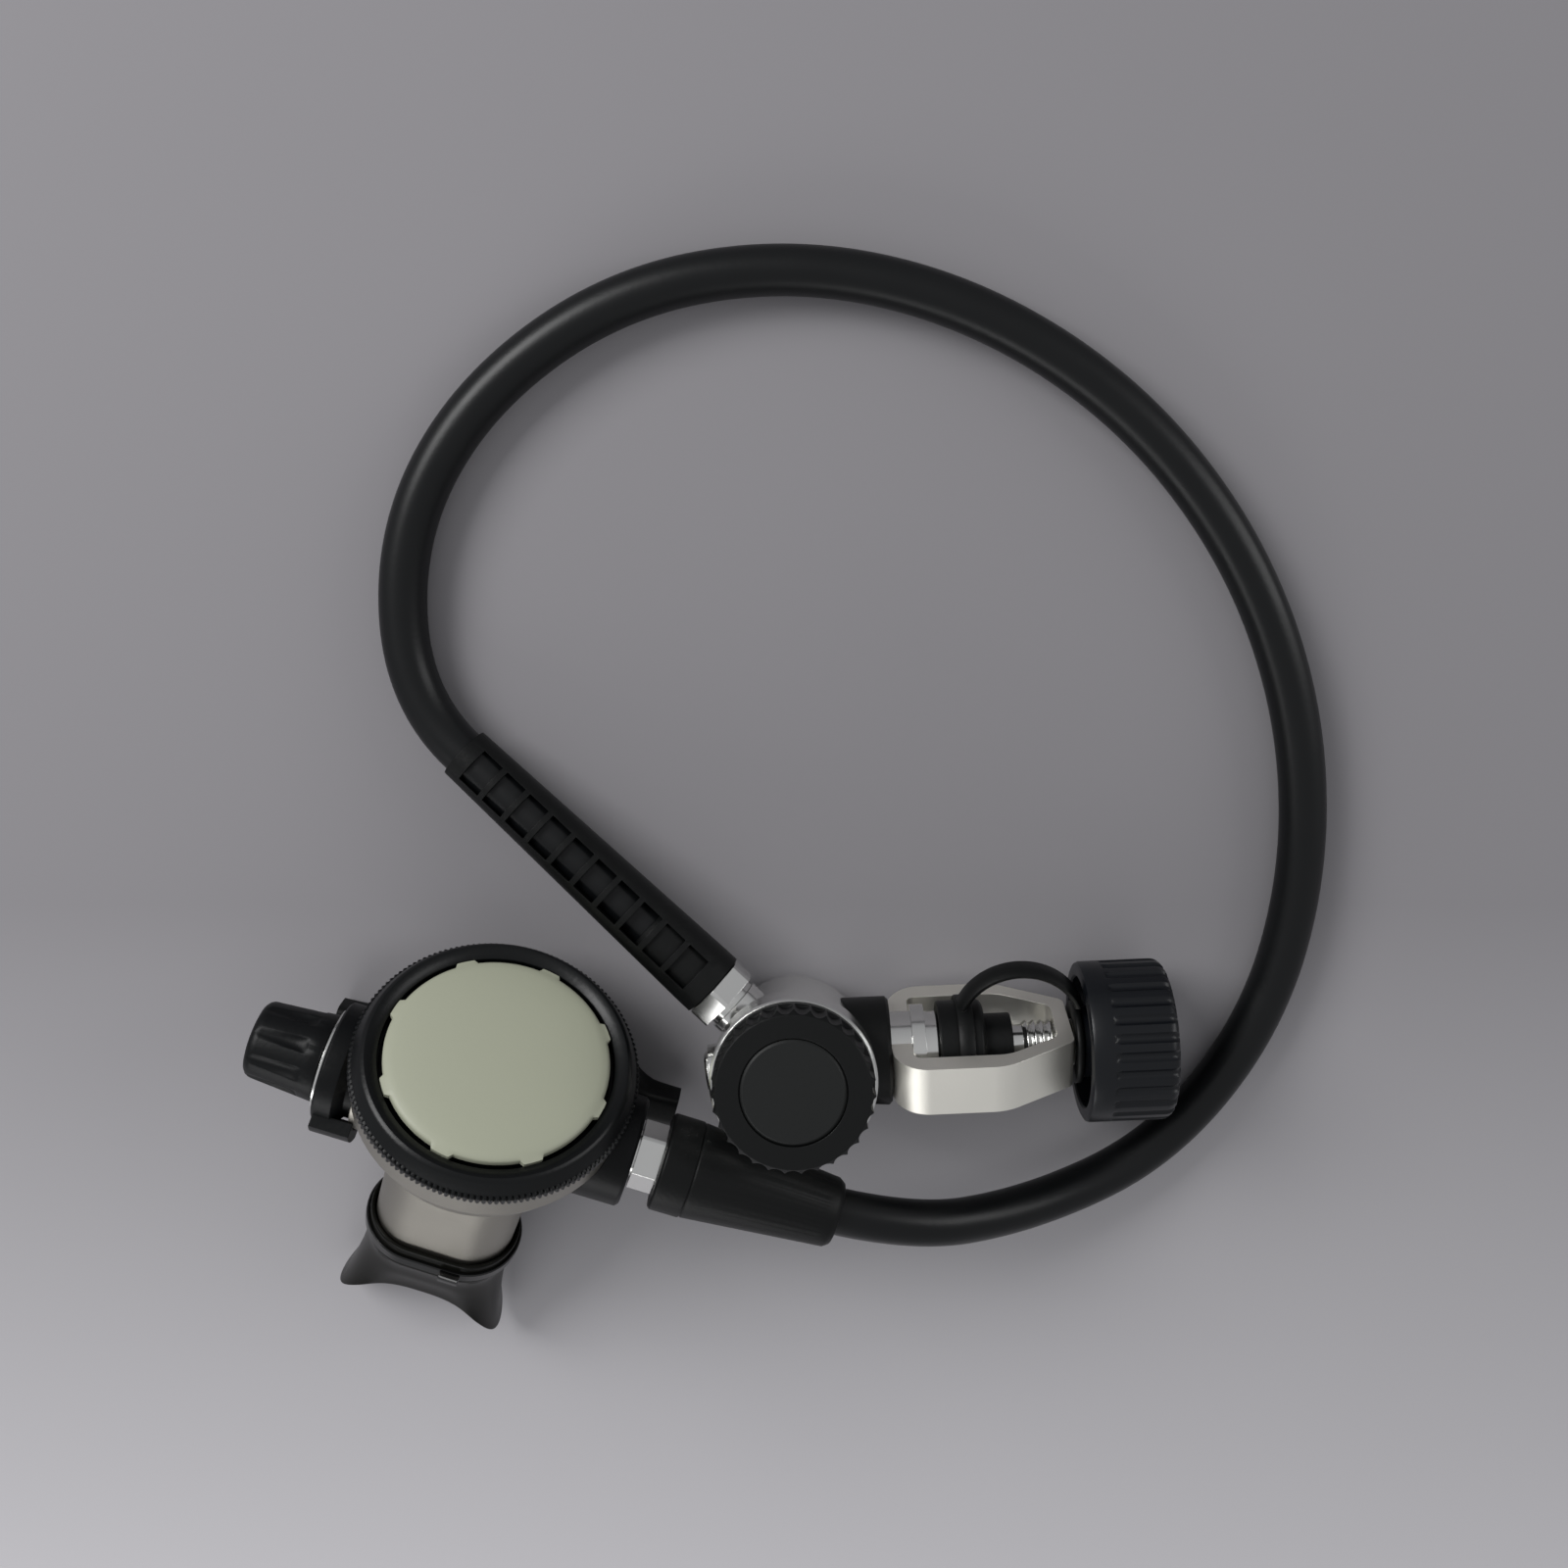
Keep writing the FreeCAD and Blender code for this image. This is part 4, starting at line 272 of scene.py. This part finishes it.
cap_black = finish_of("cap_black", (0.0024, 0.0028, 0.0028), 0.42, gloss=0.22, grain=0.14, edge=0.35)
disc_grey = finish_of("disc_grey", (0.0080, 0.0088, 0.0086), 0.48, gloss=0.25, grain=0.12, edge=0.2)
eased_copy("end_cap", cap_black, 0.35)
dress(disc_grey, "cap_disc")


# Collar and inlet: a black rubber collar fills the neck between body and yoke. The chromed retainer bolts
# the yoke on, and holds a sintered filter behind a steel clip.

bronze = finish_of("bronze", (0.36, 0.25, 0.12), 0.6, metal=1.0, grain=0.5)
dress(black_rubber, "yoke_collar")
dress(chrome, "yoke_retainer")
dress(bronze, "inlet_filter")
dress(spring_steel, "filter_clip")


# Yoke: a forged brass loop, chromed and then brushed to a satin, with every edge rounded off by hand. Its
# base is drilled for the retainer, and its far end is tapped for the screw.

yoke_silver = finish_of("yoke_silver", (0.88, 0.86, 0.79), 0.47, metal=1.0, grain=0.06, cloud=0.05)
eased_copy("yoke", yoke_silver, 1.4, angle=20, segments=5)


# Yoke screw and knob: a chromed screw with a bright thread and a loose foot. Its black moulded knob is hollow
# on the yoke's side, smooth there, and grooved over the rest of its length.

FLUTES = 28
FLUTE_HALF_WIDTH = 1.1
FLUTE_DEPTH = 0.75
KNOB_START, KNOB_END, KNOB_RADIUS = 73.2, 94.9, 20.4
KNOB_BORE, SCREW_FIT = 6.06, 5.05
SCREW_NECK, SCREW_END = 76.7, 89.95
FLUTE_START = KNOB_START + 5.6
FLUTE_RUN_OUT = 1.4


def lathe(profile, steps=96):
    """Turns a closed outline of (radius, height) points round Z."""
    shape = bmesh.new()
    corners = [shape.verts.new((radius, 0, height)) for radius, height in profile]
    edges = [shape.edges.new(pair) for pair in zip(corners, corners[1:] + corners[:1])]
    bmesh.ops.spin(
        shape, geom=corners + edges, cent=(0, 0, 0), axis=(0, 0, 1), angle=math.tau, steps=steps,
        use_merge=True,
    )
    bmesh.ops.remove_doubles(shape, verts=shape.verts, dist=0.001)
    bmesh.ops.recalc_face_normals(shape, faces=shape.faces)
    return shape


def piece_from(shape, name, place, angle=40, levels=0):
    """Puts a shape where it belongs, in metres, and makes it an object."""
    bmesh.ops.transform(shape, matrix=Matrix.Scale(MM, 4) @ place, verts=shape.verts)
    item = object_from(shape, name, angle)
    if levels:
        smooth = item.modifiers.new("smooth", "SUBSURF")
        smooth.levels = levels
        smooth.render_levels = levels
    return item


def around_axis(vert, count):
    """How far round Z a point lies from the nearest of count even lines, in radians, and its radius."""
    pitch = math.tau / count
    angle = math.atan2(vert.co.y, vert.co.x)
    return (angle + pitch / 2) % pitch - pitch / 2, vert.co.to_2d().length


def pull_to(vert, radius):
    """Moves a point straight out from Z, or in to it."""
    scale = radius / vert.co.to_2d().length
    vert.co.x *= scale
    vert.co.y *= scale


knob_black = finish_of("knob_black", (0.0028, 0.0036, 0.0052), 0.34, gloss=0.30, grain=0.05)
knob = lathe([
    (KNOB_BORE, KNOB_START), (8.7, KNOB_START), (9, KNOB_START + 0.3), (9, KNOB_START + 4.7),
    (9.3, KNOB_START + 5), (16.3, KNOB_START + 5), (16.6, KNOB_START + 4.7), (16.6, KNOB_START + 0.5),
    (17.0, KNOB_START + 0.05), (19.4, KNOB_START), (20.1, KNOB_START + 0.35), (KNOB_RADIUS, KNOB_START + 1.1),
    (KNOB_RADIUS, FLUTE_START - 0.4), (KNOB_RADIUS, FLUTE_START), (KNOB_RADIUS, FLUTE_START + 0.35),
    (KNOB_RADIUS, FLUTE_START + 0.8), (KNOB_RADIUS, FLUTE_START + 1.6), (KNOB_RADIUS, KNOB_END - 2.6),
    (20.25, KNOB_END - 1.7), (19.8, KNOB_END - 0.85), (19.1, KNOB_END - 0.25), (18.3, KNOB_END),
    (13.6, KNOB_END), (13, KNOB_END - 0.5), (0, KNOB_END - 0.5), (0, SCREW_END), (SCREW_FIT, SCREW_END),
    (SCREW_FIT, SCREW_NECK), (KNOB_BORE, SCREW_NECK),
], steps=FLUTES * 14)
for vert in knob.verts:
    off, reach = around_axis(vert, FLUTES)
    across = abs(off) * KNOB_RADIUS / FLUTE_HALF_WIDTH
    if across < 1 and reach > KNOB_RADIUS - 1.4 and vert.co.z > FLUTE_START:
        rise = min(1, (vert.co.z - FLUTE_START) / FLUTE_RUN_OUT) ** 0.5
        pull_to(vert, reach - FLUTE_DEPTH * rise * (1 - across**2) ** 0.5)
stand_for(piece_from(knob, "knob", FIRST @ rotated(90, "Y"), angle=36), knob_black, "yoke_knob")
dress(chrome, "yoke_screw", "screw_foot")


# Dust cap and strap: a soft black plug over the inlet, on a strap of the same rubber. The strap rings the
# cap, arches over it and ends in an eye round the screw, under the knob.

YOKE = FIRST @ rotated(-68, "X")
STRAP_MIDDLE = (57.6, 0, 6.6)
STRAP_RADIUS, STRAP_THICKNESS, STRAP_WIDTH = 15.9, 2.2, 7.0
STRAP_START, STRAP_STOP = 20, 157


def put_in(target, shape, place):
    """Adds one shape to another, moved to its place."""
    bmesh.ops.transform(shape, matrix=place, verts=shape.verts)
    mesh = bpy.data.meshes.new("part_of_piece")
    shape.to_mesh(mesh)
    shape.free()
    target.from_mesh(mesh)
    bpy.data.meshes.remove(mesh)


def strap_ring(bore, face, radius, start, end):
    """A flat ring round Z. Its outer edges are eased, from the end faces' radius to its own."""
    return lathe([
        (bore, start), (face, start), (radius, start + 0.3), (radius, end - 0.3), (face, end), (bore, end),
    ])


def strap_arch():
    """The band between the rings, bent to an arc about Y. Its upper edges are eased the most."""
    shape = bmesh.new()
    half, thick = STRAP_WIDTH / 2, STRAP_THICKNESS / 2
    corners = [shape.verts.new((STRAP_RADIUS + x, y, 0)) for x, y in (
        (-thick, -half + 0.8), (-thick, half - 0.8), (-thick + 0.8, half), (thick - 0.9, half),
        (thick, half - 1.4), (thick, -half + 1.4), (thick - 0.9, -half), (-thick + 0.8, -half),
    )]
    band = shape.faces.new(corners)
    bmesh.ops.rotate(shape, verts=corners, cent=(0, 0, 0), matrix=rotated(-STRAP_START, "Y").to_3x3())
    bmesh.ops.spin(
        shape, geom=[band], cent=(0, 0, 0), axis=(0, -1, 0), angle=math.radians(STRAP_STOP - STRAP_START),
        steps=30,
    )
    bmesh.ops.recalc_face_normals(shape, faces=shape.faces)
    return shape


strap = bmesh.new()
put_in(strap, strap_ring(12.02, 13.1, 13.35, 41.5, 45.5), rotated(90, "Y"))
put_in(strap, strap_ring(6.3, 10.2, 10.5, 71.2, 72.9), rotated(90, "Y"))
put_in(strap, strap_arch(), at(*STRAP_MIDDLE))
stand_for(piece_from(strap, "strap", YOKE, angle=50), black_rubber, "dust_cap_strap")
eased_copy("dust_cap", black_rubber, 0.4)


# Second stage case: a deep drawn metal bowl, bead blasted to a satin, with a seat for the exhaust valve
# below, a boss for the controls and an oval tube for the mouthpiece.

SECOND = at(-51.05, 38.3, 45.604) @ rotated(162.8, "Z") @ rotated(57.1, "X") @ rotated(-1.64, "Z")
case_satin = finish_of("case_satin", (0.30, 0.285, 0.255), 0.40, metal=1.0, grain=0.06, cloud=0.09, edge=0.5)
dress(case_satin, "second_stage_case")


# Front ring: black moulded ring that screws over the case's rim and holds the purge cover in. Its face slopes
# in to the cover, and a row of small beads runs round its back edge for grip.

BEADS = 150
BEAD_DEPTH = 0.8
ring_black = finish_of("ring_black", (0.0022, 0.0027, 0.0030), 0.33, gloss=0.25, grain=0.10)
ring = lathe([
    (34.05, -6.6), (34.6, -6.6), (35.0, -6.2), (35.0, -4.4), (34.7, -3.95), (34.1, -3.75), (33.9, -3.4),
    (32.6, -0.9), (32.1, -0.3), (31.4, -0.03), (30.8, -0.15), (28.6, -1.5), (28.4, -1.8), (28.4, -5.15),
    (34.05, -5.15),
], steps=BEADS * 4)
for vert in ring.verts:
    off, reach = around_axis(vert, BEADS)
    if vert.co.z < -3.9 and reach > 34.5:
        pull_to(vert, reach - BEAD_DEPTH * (abs(off) * BEADS / math.pi) ** 2)
stand_for(piece_from(ring, "ring", SECOND, angle=30), ring_black, "front_ring")


# Purge cover: a thin domed disc, moulded of pale olive plastic with eight lugs at its edge, which run under
# the ring. Between the lugs a dark slot shows, and a boss under the middle meets the spring.

LUGS = 8
LUG_PHASE = -10
LUG_HALF_ANGLE = 5.5
LUG_REACH = 28.1
COVER_RADIUS = 27.1
BOSS_RADIUS, BOSS_END = 3.9, -7.7
purge_olive = finish_of("purge_olive", (0.345, 0.358, 0.275), 0.42, gloss=0.3, grain=0.05, cloud=0.05)
cover = lathe([
    (0, 1.7), (6, 1.64), (12.2, 1.4), (17, 1.05), (21.68, 0.6), (24.5, 0.08), (26.2, -0.32), (26.9, -0.75),
    (COVER_RADIUS, -1.1), (COVER_RADIUS, -2.4), (25.6, -2.4), (25.1, -0.9), (20, -0.35), (BOSS_RADIUS, 0.2),
    (BOSS_RADIUS, BOSS_END), (0, BOSS_END),
], steps=240)
for vert in cover.verts:
    around = math.degrees(math.atan2(vert.co.y, vert.co.x)) - LUG_PHASE
    off = (around + 180 / LUGS) % (360 / LUGS) - 180 / LUGS
    if abs(off) < LUG_HALF_ANGLE and vert.co.to_2d().length > COVER_RADIUS - 0.1 and vert.co.z < -0.9:
        pull_to(vert, LUG_REACH)
stand_for(piece_from(cover, "cover", SECOND, angle=32), purge_olive, "purge_cover")


# Behind the cover: a black perforated plate, the purge spring, and the pale silicone diaphragm with its steel
# disc. They are stacked on a ledge in the case's rim.

plate_black = finish_of("plate_black", (0.0022, 0.0026, 0.0030), 0.42, gloss=0.17, grain=0.12, edge=0.3)
silicone = finish_of("silicone", (0.55, 0.55, 0.50), 0.4)
dress(plate_black, "cover_plate")
dress(spring_steel, "diaphragm_disc", "demand_lever")
dress(silicone, "exhaust_valve")
yielding_copy("purge_spring", spring_steel)
yielding_copy("demand_diaphragm", silicone)


# Valve barrel: a brass tube across the case that holds the orifice, poppet, spring and adjuster. Outside
# the case a black end cover closes its inlet side and a bright nut its other end.

dress(brass, "valve_barrel", "inlet_orifice", "demand_poppet", "adjuster_piston")
dress(chrome, "inlet_tube", "adjuster_nut")
eased_copy("barrel_end_cover", plate_black, 0.4)


# Breathing controls: a tapering black knob with finger grooves turns the adjuster, and a black collar with a
# thumb tab turns the flow vane inside.

STEM_FIT, STEM_END = 3.06, 47
GRIPS = 9
GRIP_RADIUS = 2.4
GRIP_CENTRE = 11.9
GRIP_START = 44.5
GRIP_RUN_OUT = 3.2
BARREL = SECOND @ at(0, 2.2, -22) @ rotated(90, "Y")
yielding_copy("poppet_spring", spring_steel)
breath_knob = lathe([
    (STEM_FIT, 40.7), (10.3, 40.7), (10.8, 40.95), (11, 41.5), (10.75, 44.4), (10.7, 45), (10.65, 45.6),
    (10.57, 46.6), (10.45, 48), (10.2, 51), (9.75, 56.6), (9.6, 57.4), (9.2, 58.2), (8.4, 58.85), (7.4, 59.1),
    (6.6, 59.05), (6.2, 58.6), (0, 58.5), (0, STEM_END), (STEM_FIT, STEM_END),
], steps=GRIPS * 32)
for vert in breath_knob.verts:
    off, reach = around_axis(vert, GRIPS)
    side = GRIP_CENTRE * math.sin(abs(off))
    if side < GRIP_RADIUS and reach > 6.5 and vert.co.z > GRIP_START:
        fade = min(1, (vert.co.z - GRIP_START) / GRIP_RUN_OUT) ** 0.6
        floor = GRIP_CENTRE * math.cos(off) - math.sqrt(GRIP_RADIUS**2 - side**2)
        pull_to(vert, reach - max(0, reach - floor) * fade)
stand_for(piece_from(breath_knob, "breath_knob", BARREL, angle=30), plate_black, "inhalation_knob")
eased_copy("venturi_lever", plate_black, 0.5)
dress(plate_black, "flow_vane")


# Exhaust tee: a soft black rubber duct, moulded hollow and pulled over the exhaust valve's seat. Its two
# wings flatten towards their open ends and lead the bubbles to both sides.

EXHAUST = SECOND @ at(0, -21.5, -25) @ rotated(122.9, "X") @ rotated(-2.2, "Z")
TEE_REACH = 46.5
TEE_WALL = 1.6
TEE_MOUTH = 13.0
TEE_BACK, WING_BACK = -15, -16.5
TEE_FRONT, WING_FRONT = 14, -7.5
TEE_ROOF, WING_ROOF = 0.05, 3.0
TEE_FLOOR, WING_FLOOR = 13.06, 11.86
FRONT_RUN, ROOF_RUN, FLOOR_RUN = (12, 40), (20, TEE_REACH), (34, TEE_REACH)
TEE_CORNER = 0.45
TEE_STATIONS, TEE_POINTS = 48, 48


def ease(value, start, stop):
    """Runs smoothly from 0 at start to 1 at stop."""
    share = max(0.0, min(1.0, (value - start) / (stop - start)))
    return share * share * (3 - 2 * share)


def tee_ring(shape, x, wall):
    """The tee's section at x, a wall's thickness in: a box with soft corners, smaller towards the ends."""
    reach = abs(x)
    back = TEE_BACK + (WING_BACK - TEE_BACK) * ease(reach, 0, TEE_REACH) + wall
    front = TEE_FRONT + (WING_FRONT - TEE_FRONT) * ease(reach, *FRONT_RUN) - wall
    roof = TEE_ROOF + (WING_ROOF - TEE_ROOF) * ease(reach, *ROOF_RUN) + wall
    floor = TEE_FLOOR + (WING_FLOOR - TEE_FLOOR) * ease(reach, *FLOOR_RUN) - wall
    ring = bmesh.ops.create_circle(shape, segments=TEE_POINTS, radius=1)["verts"]
    for vert in ring:
        y, z = (math.copysign(abs(side) ** TEE_CORNER, side) for side in vert.co.xy)
        vert.co = (x, (back + front + y * (front - back)) / 2, (roof + floor + z * (floor - roof)) / 2)
    return ring


def bridge(shape, rings):
    """Joins rings to one skin."""
    for near, far in zip(rings, rings[1:]):
        edges = dict.fromkeys(edge for vert in (*near, *far) for edge in vert.link_edges)
        pair = [edge for edge in edges if set(edge.verts) <= set(near) or set(edge.verts) <= set(far)]
        bmesh.ops.bridge_loops(shape, edges=pair)


tee = bmesh.new()
stations = [-TEE_REACH + 2 * TEE_REACH * step / TEE_STATIONS for step in range(TEE_STATIONS + 1)]
outside, inside = ([tee_ring(tee, x, wall) for x in stations] for wall in (0, TEE_WALL))
bridge(tee, outside + inside[::-1] + outside[:1])
over_mouth = {
    vert for rings in zip(outside, inside) for pair in zip(*rings) for vert in pair
    if pair[0].co.to_2d().length < TEE_MOUTH + 1 and pair[0].co.z < 3
}
mouth_faces = [face for face in tee.faces if set(face.verts) <= over_mouth]
bmesh.ops.delete(tee, geom=mouth_faces, context="FACES")
rim = [edge for edge in tee.edges if edge.is_boundary]
for vert in {vert for edge in rim for vert in edge.verts}:
    pull_to(vert, TEE_MOUTH)
bmesh.ops.bridge_loops(tee, edges=rim)
bmesh.ops.recalc_face_normals(tee, faces=tee.faces)
stand_for(piece_from(tee, "tee", EXHAUST, angle=50), black_rubber, "exhaust_tee")


# Mouthpiece: dark translucent silicone over the oval tube. It narrows to a neck and flares to a curved flange
# for the lips, with two bite tabs inside. A black tie holds it on the tube.

MOUTH = SECOND @ at(1.5, 12.3, -36) @ rotated(186, "X") @ rotated(2, "Y")
RING_POINTS = 96
MOUTH_START = 23.5
NECK = 39.0
LIP_MIDDLE, LIP_TIP = 49.5, 70.5
LIP_CURVE = 2.9
TAB_SIZE, TAB_PLACE = (2.6, 7, 12), (13.8, 0, 54.5)
ROOT_SIZE, ROOT_PLACE = (5.6, 5, 4), (15.8, 0, 49.5)
TIE_START, TIE_END, TIE_GAP = 26.5, 29.5, 0.06
BUCKLE_SIZE, BUCKLE_PLACE = (5.4, 1.9, 3.1), (-6, -14.9, 28)


def oval_ring(shape, half_width, half_height, height):
    """A ring with round ends and flat long sides, evenly spaced, at a height that may change across it."""
    flat = half_width - half_height
    quarter = math.pi / 2 * half_height + flat
    ring = bmesh.ops.create_circle(shape, segments=RING_POINTS, radius=1)["verts"]
    for vert in ring:
        run = math.atan2(abs(vert.co.y), abs(vert.co.x)) / (math.pi / 2) * quarter
        turn = min(run / half_height, math.pi / 2)
        x = flat - max(0, run - math.pi / 2 * half_height) + half_height * math.cos(turn)
        x = math.copysign(x, vert.co.x)
        vert.co = (x, math.copysign(half_height * math.sin(turn), vert.co.y), height(x / half_width))
    return ring


def level(height):
    """The height of a ring that lies flat."""
    return lambda across: height


def flared(share):
    """A ring's height on the flare: the lips' edge reaches further at the two tips than in its middle."""
    def height(across):
        edge = LIP_MIDDLE + (LIP_TIP - LIP_MIDDLE) * abs(across) ** LIP_CURVE
        return NECK + (edge - NECK) * share
    return height


def soft_block(size, middle, radius, segments):
    """A box with rounded edges."""
    shape = bmesh.new()
    bmesh.ops.create_cube(shape, size=1, matrix=at(*middle) @ Matrix.Diagonal((*size, 1)))
    bmesh.ops.bevel(
        shape, geom=shape.edges[:], offset=radius, segments=segments, profile=0.5, affect="EDGES",
        material=-1, clamp_overlap=True,
    )
    return shape


flare = [
    (0.12, 19.1, 11.4), (0.3, 19.5, 10.9), (0.5, 20.2, 10.4), (0.7, 21.1, 10.0), (0.86, 22.1, 9.8),
    (0.95, 22.8, 9.7),
]
outer = [(18.7, 12.55, level(MOUTH_START)), (19.45, 13.3, level(MOUTH_START)), (19.7, 13.5, level(23.8))]
outer += [(19.7, 13.5, level(26.2)), (19.7, 13.5, level(29.8)), (19.95, 13.75, level(30.6))]
outer += [(19.95, 13.75, level(31.4)), (19.6, 13.3, level(32.2)), (19.2, 12.7, level(33.5))]
outer += [(19.0, 12.1, level(36)), (19.0, 11.7, level(NECK - 1))]
outer += [(width, tall, flared(share)) for share, width, tall in flare]
lip = [(23.2, 9.6, flared(0.99)), (23.1, 9.2, flared(1)), (22.4, 8.2, flared(1)), (21.6, 7.4, flared(0.97))]
inner = [(width - 2.3, tall - 2.5, flared(share)) for share, width, tall in reversed(flare)]
inner += [(16.6, 9.2, level(NECK - 1)), (16.6, 10, level(34)), (17.4, 11.1, level(32))]
inner += [(18.45, 12.25, level(31.5)), (18.6, 12.4, level(31.1)), (18.6, 12.4, level(24.5)), outer[0]]
rubber = bmesh.new()
bridge(rubber, [oval_ring(rubber, *row) for row in outer + lip + inner])
bmesh.ops.remove_doubles(rubber, verts=rubber.verts, dist=0.001)
for turned in (180, 0):
    put_in(rubber, soft_block(TAB_SIZE, TAB_PLACE, radius=0.9, segments=3), rotated(turned, "Z"))
    put_in(rubber, soft_block(ROOT_SIZE, ROOT_PLACE, radius=0.9, segments=3), rotated(turned, "Z"))
bmesh.ops.recalc_face_normals(rubber, faces=rubber.faces)
mouth_silicone = finish_of(
    "mouth_silicone", (0.0045, 0.0045, 0.0036), 0.26, gloss=0.07, grain=0.03, cloud=0.04,
)
stand_for(piece_from(rubber, "lip_piece", MOUTH, angle=60, levels=1), mouth_silicone, "mouthpiece")

tie = bmesh.new()
bridge(tie, [
    oval_ring(tie, half + TIE_GAP, half - 6.2 + TIE_GAP, level(height)) for half, height in (
        (19.7, TIE_START), (20.2, TIE_START), (20.5, TIE_START + 0.3), (20.5, TIE_END - 0.3), (20.2, TIE_END),
        (19.7, TIE_END), (19.7, TIE_START),
    )
])
bmesh.ops.remove_doubles(tie, verts=tie.verts, dist=0.001)
put_in(tie, soft_block(BUCKLE_SIZE, BUCKLE_PLACE, radius=0.4, segments=2), Matrix.Identity(4))
bmesh.ops.recalc_face_normals(tie, faces=tie.faces)
tie_black = finish_of("tie_black", (0.003, 0.003, 0.003), 0.16)
stand_for(piece_from(tie, "tie", MOUTH, angle=40), tie_black, "mouthpiece_tie")


# Table: a pale grey sheet of paper, wider than the view. Its colour holds painted light and shade: it is
# painted paler towards the mouthpiece's side and darker away from it, as in the photograph.

TABLE_HALF = 3000
# Painted light and shade on the table: pale grey painted near the mouthpiece, dark grey painted further back,
# between these two Y places.
PAINTED_LIGHT_FROM, PAINTED_SHADE_FROM = -0.17, 0.06
PAINTED_LIGHT_GREY = (0.52, 0.51, 0.53)
PAINTED_SHADE_GREY = (0.235, 0.228, 0.24)
paper = finish_of("paper", PAINTED_LIGHT_GREY, 0.8, gloss=0.1)
tones = paper.node_tree
where = tones.nodes.new("ShaderNodeTexCoord")
split = tones.nodes.new("ShaderNodeSeparateXYZ")
tones.links.new(where.outputs["Object"], split.inputs["Vector"])
painted_light_span = tones.nodes.new("ShaderNodeMapRange")
painted_light_span.inputs["From Min"].default_value = PAINTED_LIGHT_FROM
painted_light_span.inputs["From Max"].default_value = PAINTED_SHADE_FROM
tones.links.new(split.outputs["Y"], painted_light_span.inputs["Value"])
# Mixes the painted light and the painted shade into the table's colour.
painted_light_blend = tones.nodes.new("ShaderNodeMix")
painted_light_blend.data_type = "RGBA"
painted_light_blend.inputs["A"].default_value = (*PAINTED_LIGHT_GREY, 1)
painted_light_blend.inputs["B"].default_value = (*PAINTED_SHADE_GREY, 1)
tones.links.new(painted_light_span.outputs["Result"], painted_light_blend.inputs["Factor"])
tones.links.new(painted_light_blend.outputs["Result"], tones.nodes["Principled BSDF"].inputs["Base Color"])
table = bmesh.new()
bmesh.ops.create_grid(table, x_segments=1, y_segments=1, size=TABLE_HALF)
table_top = piece_from(table, "table_top", Matrix.Identity(4))
bpy.context.scene.collection.objects.link(table_top)
table_top.data.materials.append(paper)


# Studio: one large soft lamp from the far left, a weaker one from the right, and a fill from the near left.
# The room round them is a plain grey, a little lighter overhead.

LAMP_AIM = Vector((0, 0.03, 0))
ROOM_STRENGTH = 0.8
ROOM_LOW, ROOM_HIGH = (0.40, 0.405, 0.42, 1), (0.58, 0.585, 0.60, 1)


def soft_lamp(name, place, size, power):
    """A rectangular lamp that faces the object."""
    data = bpy.data.lights.new(name, "AREA")
    data.shape = "RECTANGLE"
    data.size, data.size_y = size
    data.energy = power
    lamp = bpy.data.objects.new(name, data)
    lamp.location = Vector(place)
    lamp.rotation_euler = (LAMP_AIM - Vector(place)).to_track_quat("-Z", "Y").to_euler()
    bpy.context.scene.collection.objects.link(lamp)


soft_lamp("far_lamp", (-0.62, 0.62, 0.62), (0.55, 0.45), 8.0)
soft_lamp("right_lamp", (0.85, 0.35, 0.40), (0.30, 0.60), 1.8)
soft_lamp("near_lamp", (-0.45, -0.75, 0.45), (0.8, 0.35), 2.6)
studio = bpy.data.worlds.new("studio")
bpy.context.scene.world = studio
studio.use_nodes = True
sky = studio.node_tree
direction = sky.nodes.new("ShaderNodeTexCoord")
height = sky.nodes.new("ShaderNodeSeparateXYZ")
shade = sky.nodes.new("ShaderNodeValToRGB")
shade.color_ramp.elements[0].position = 0.0
shade.color_ramp.elements[0].color = ROOM_LOW
shade.color_ramp.elements[1].position = 0.95
shade.color_ramp.elements[1].color = ROOM_HIGH
sky.links.new(direction.outputs["Generated"], height.inputs["Vector"])
sky.links.new(height.outputs["Z"], shade.inputs["Fac"])
sky.links.new(shade.outputs["Color"], sky.nodes["Background"].inputs["Color"])
sky.nodes["Background"].inputs["Strength"].default_value = ROOM_STRENGTH
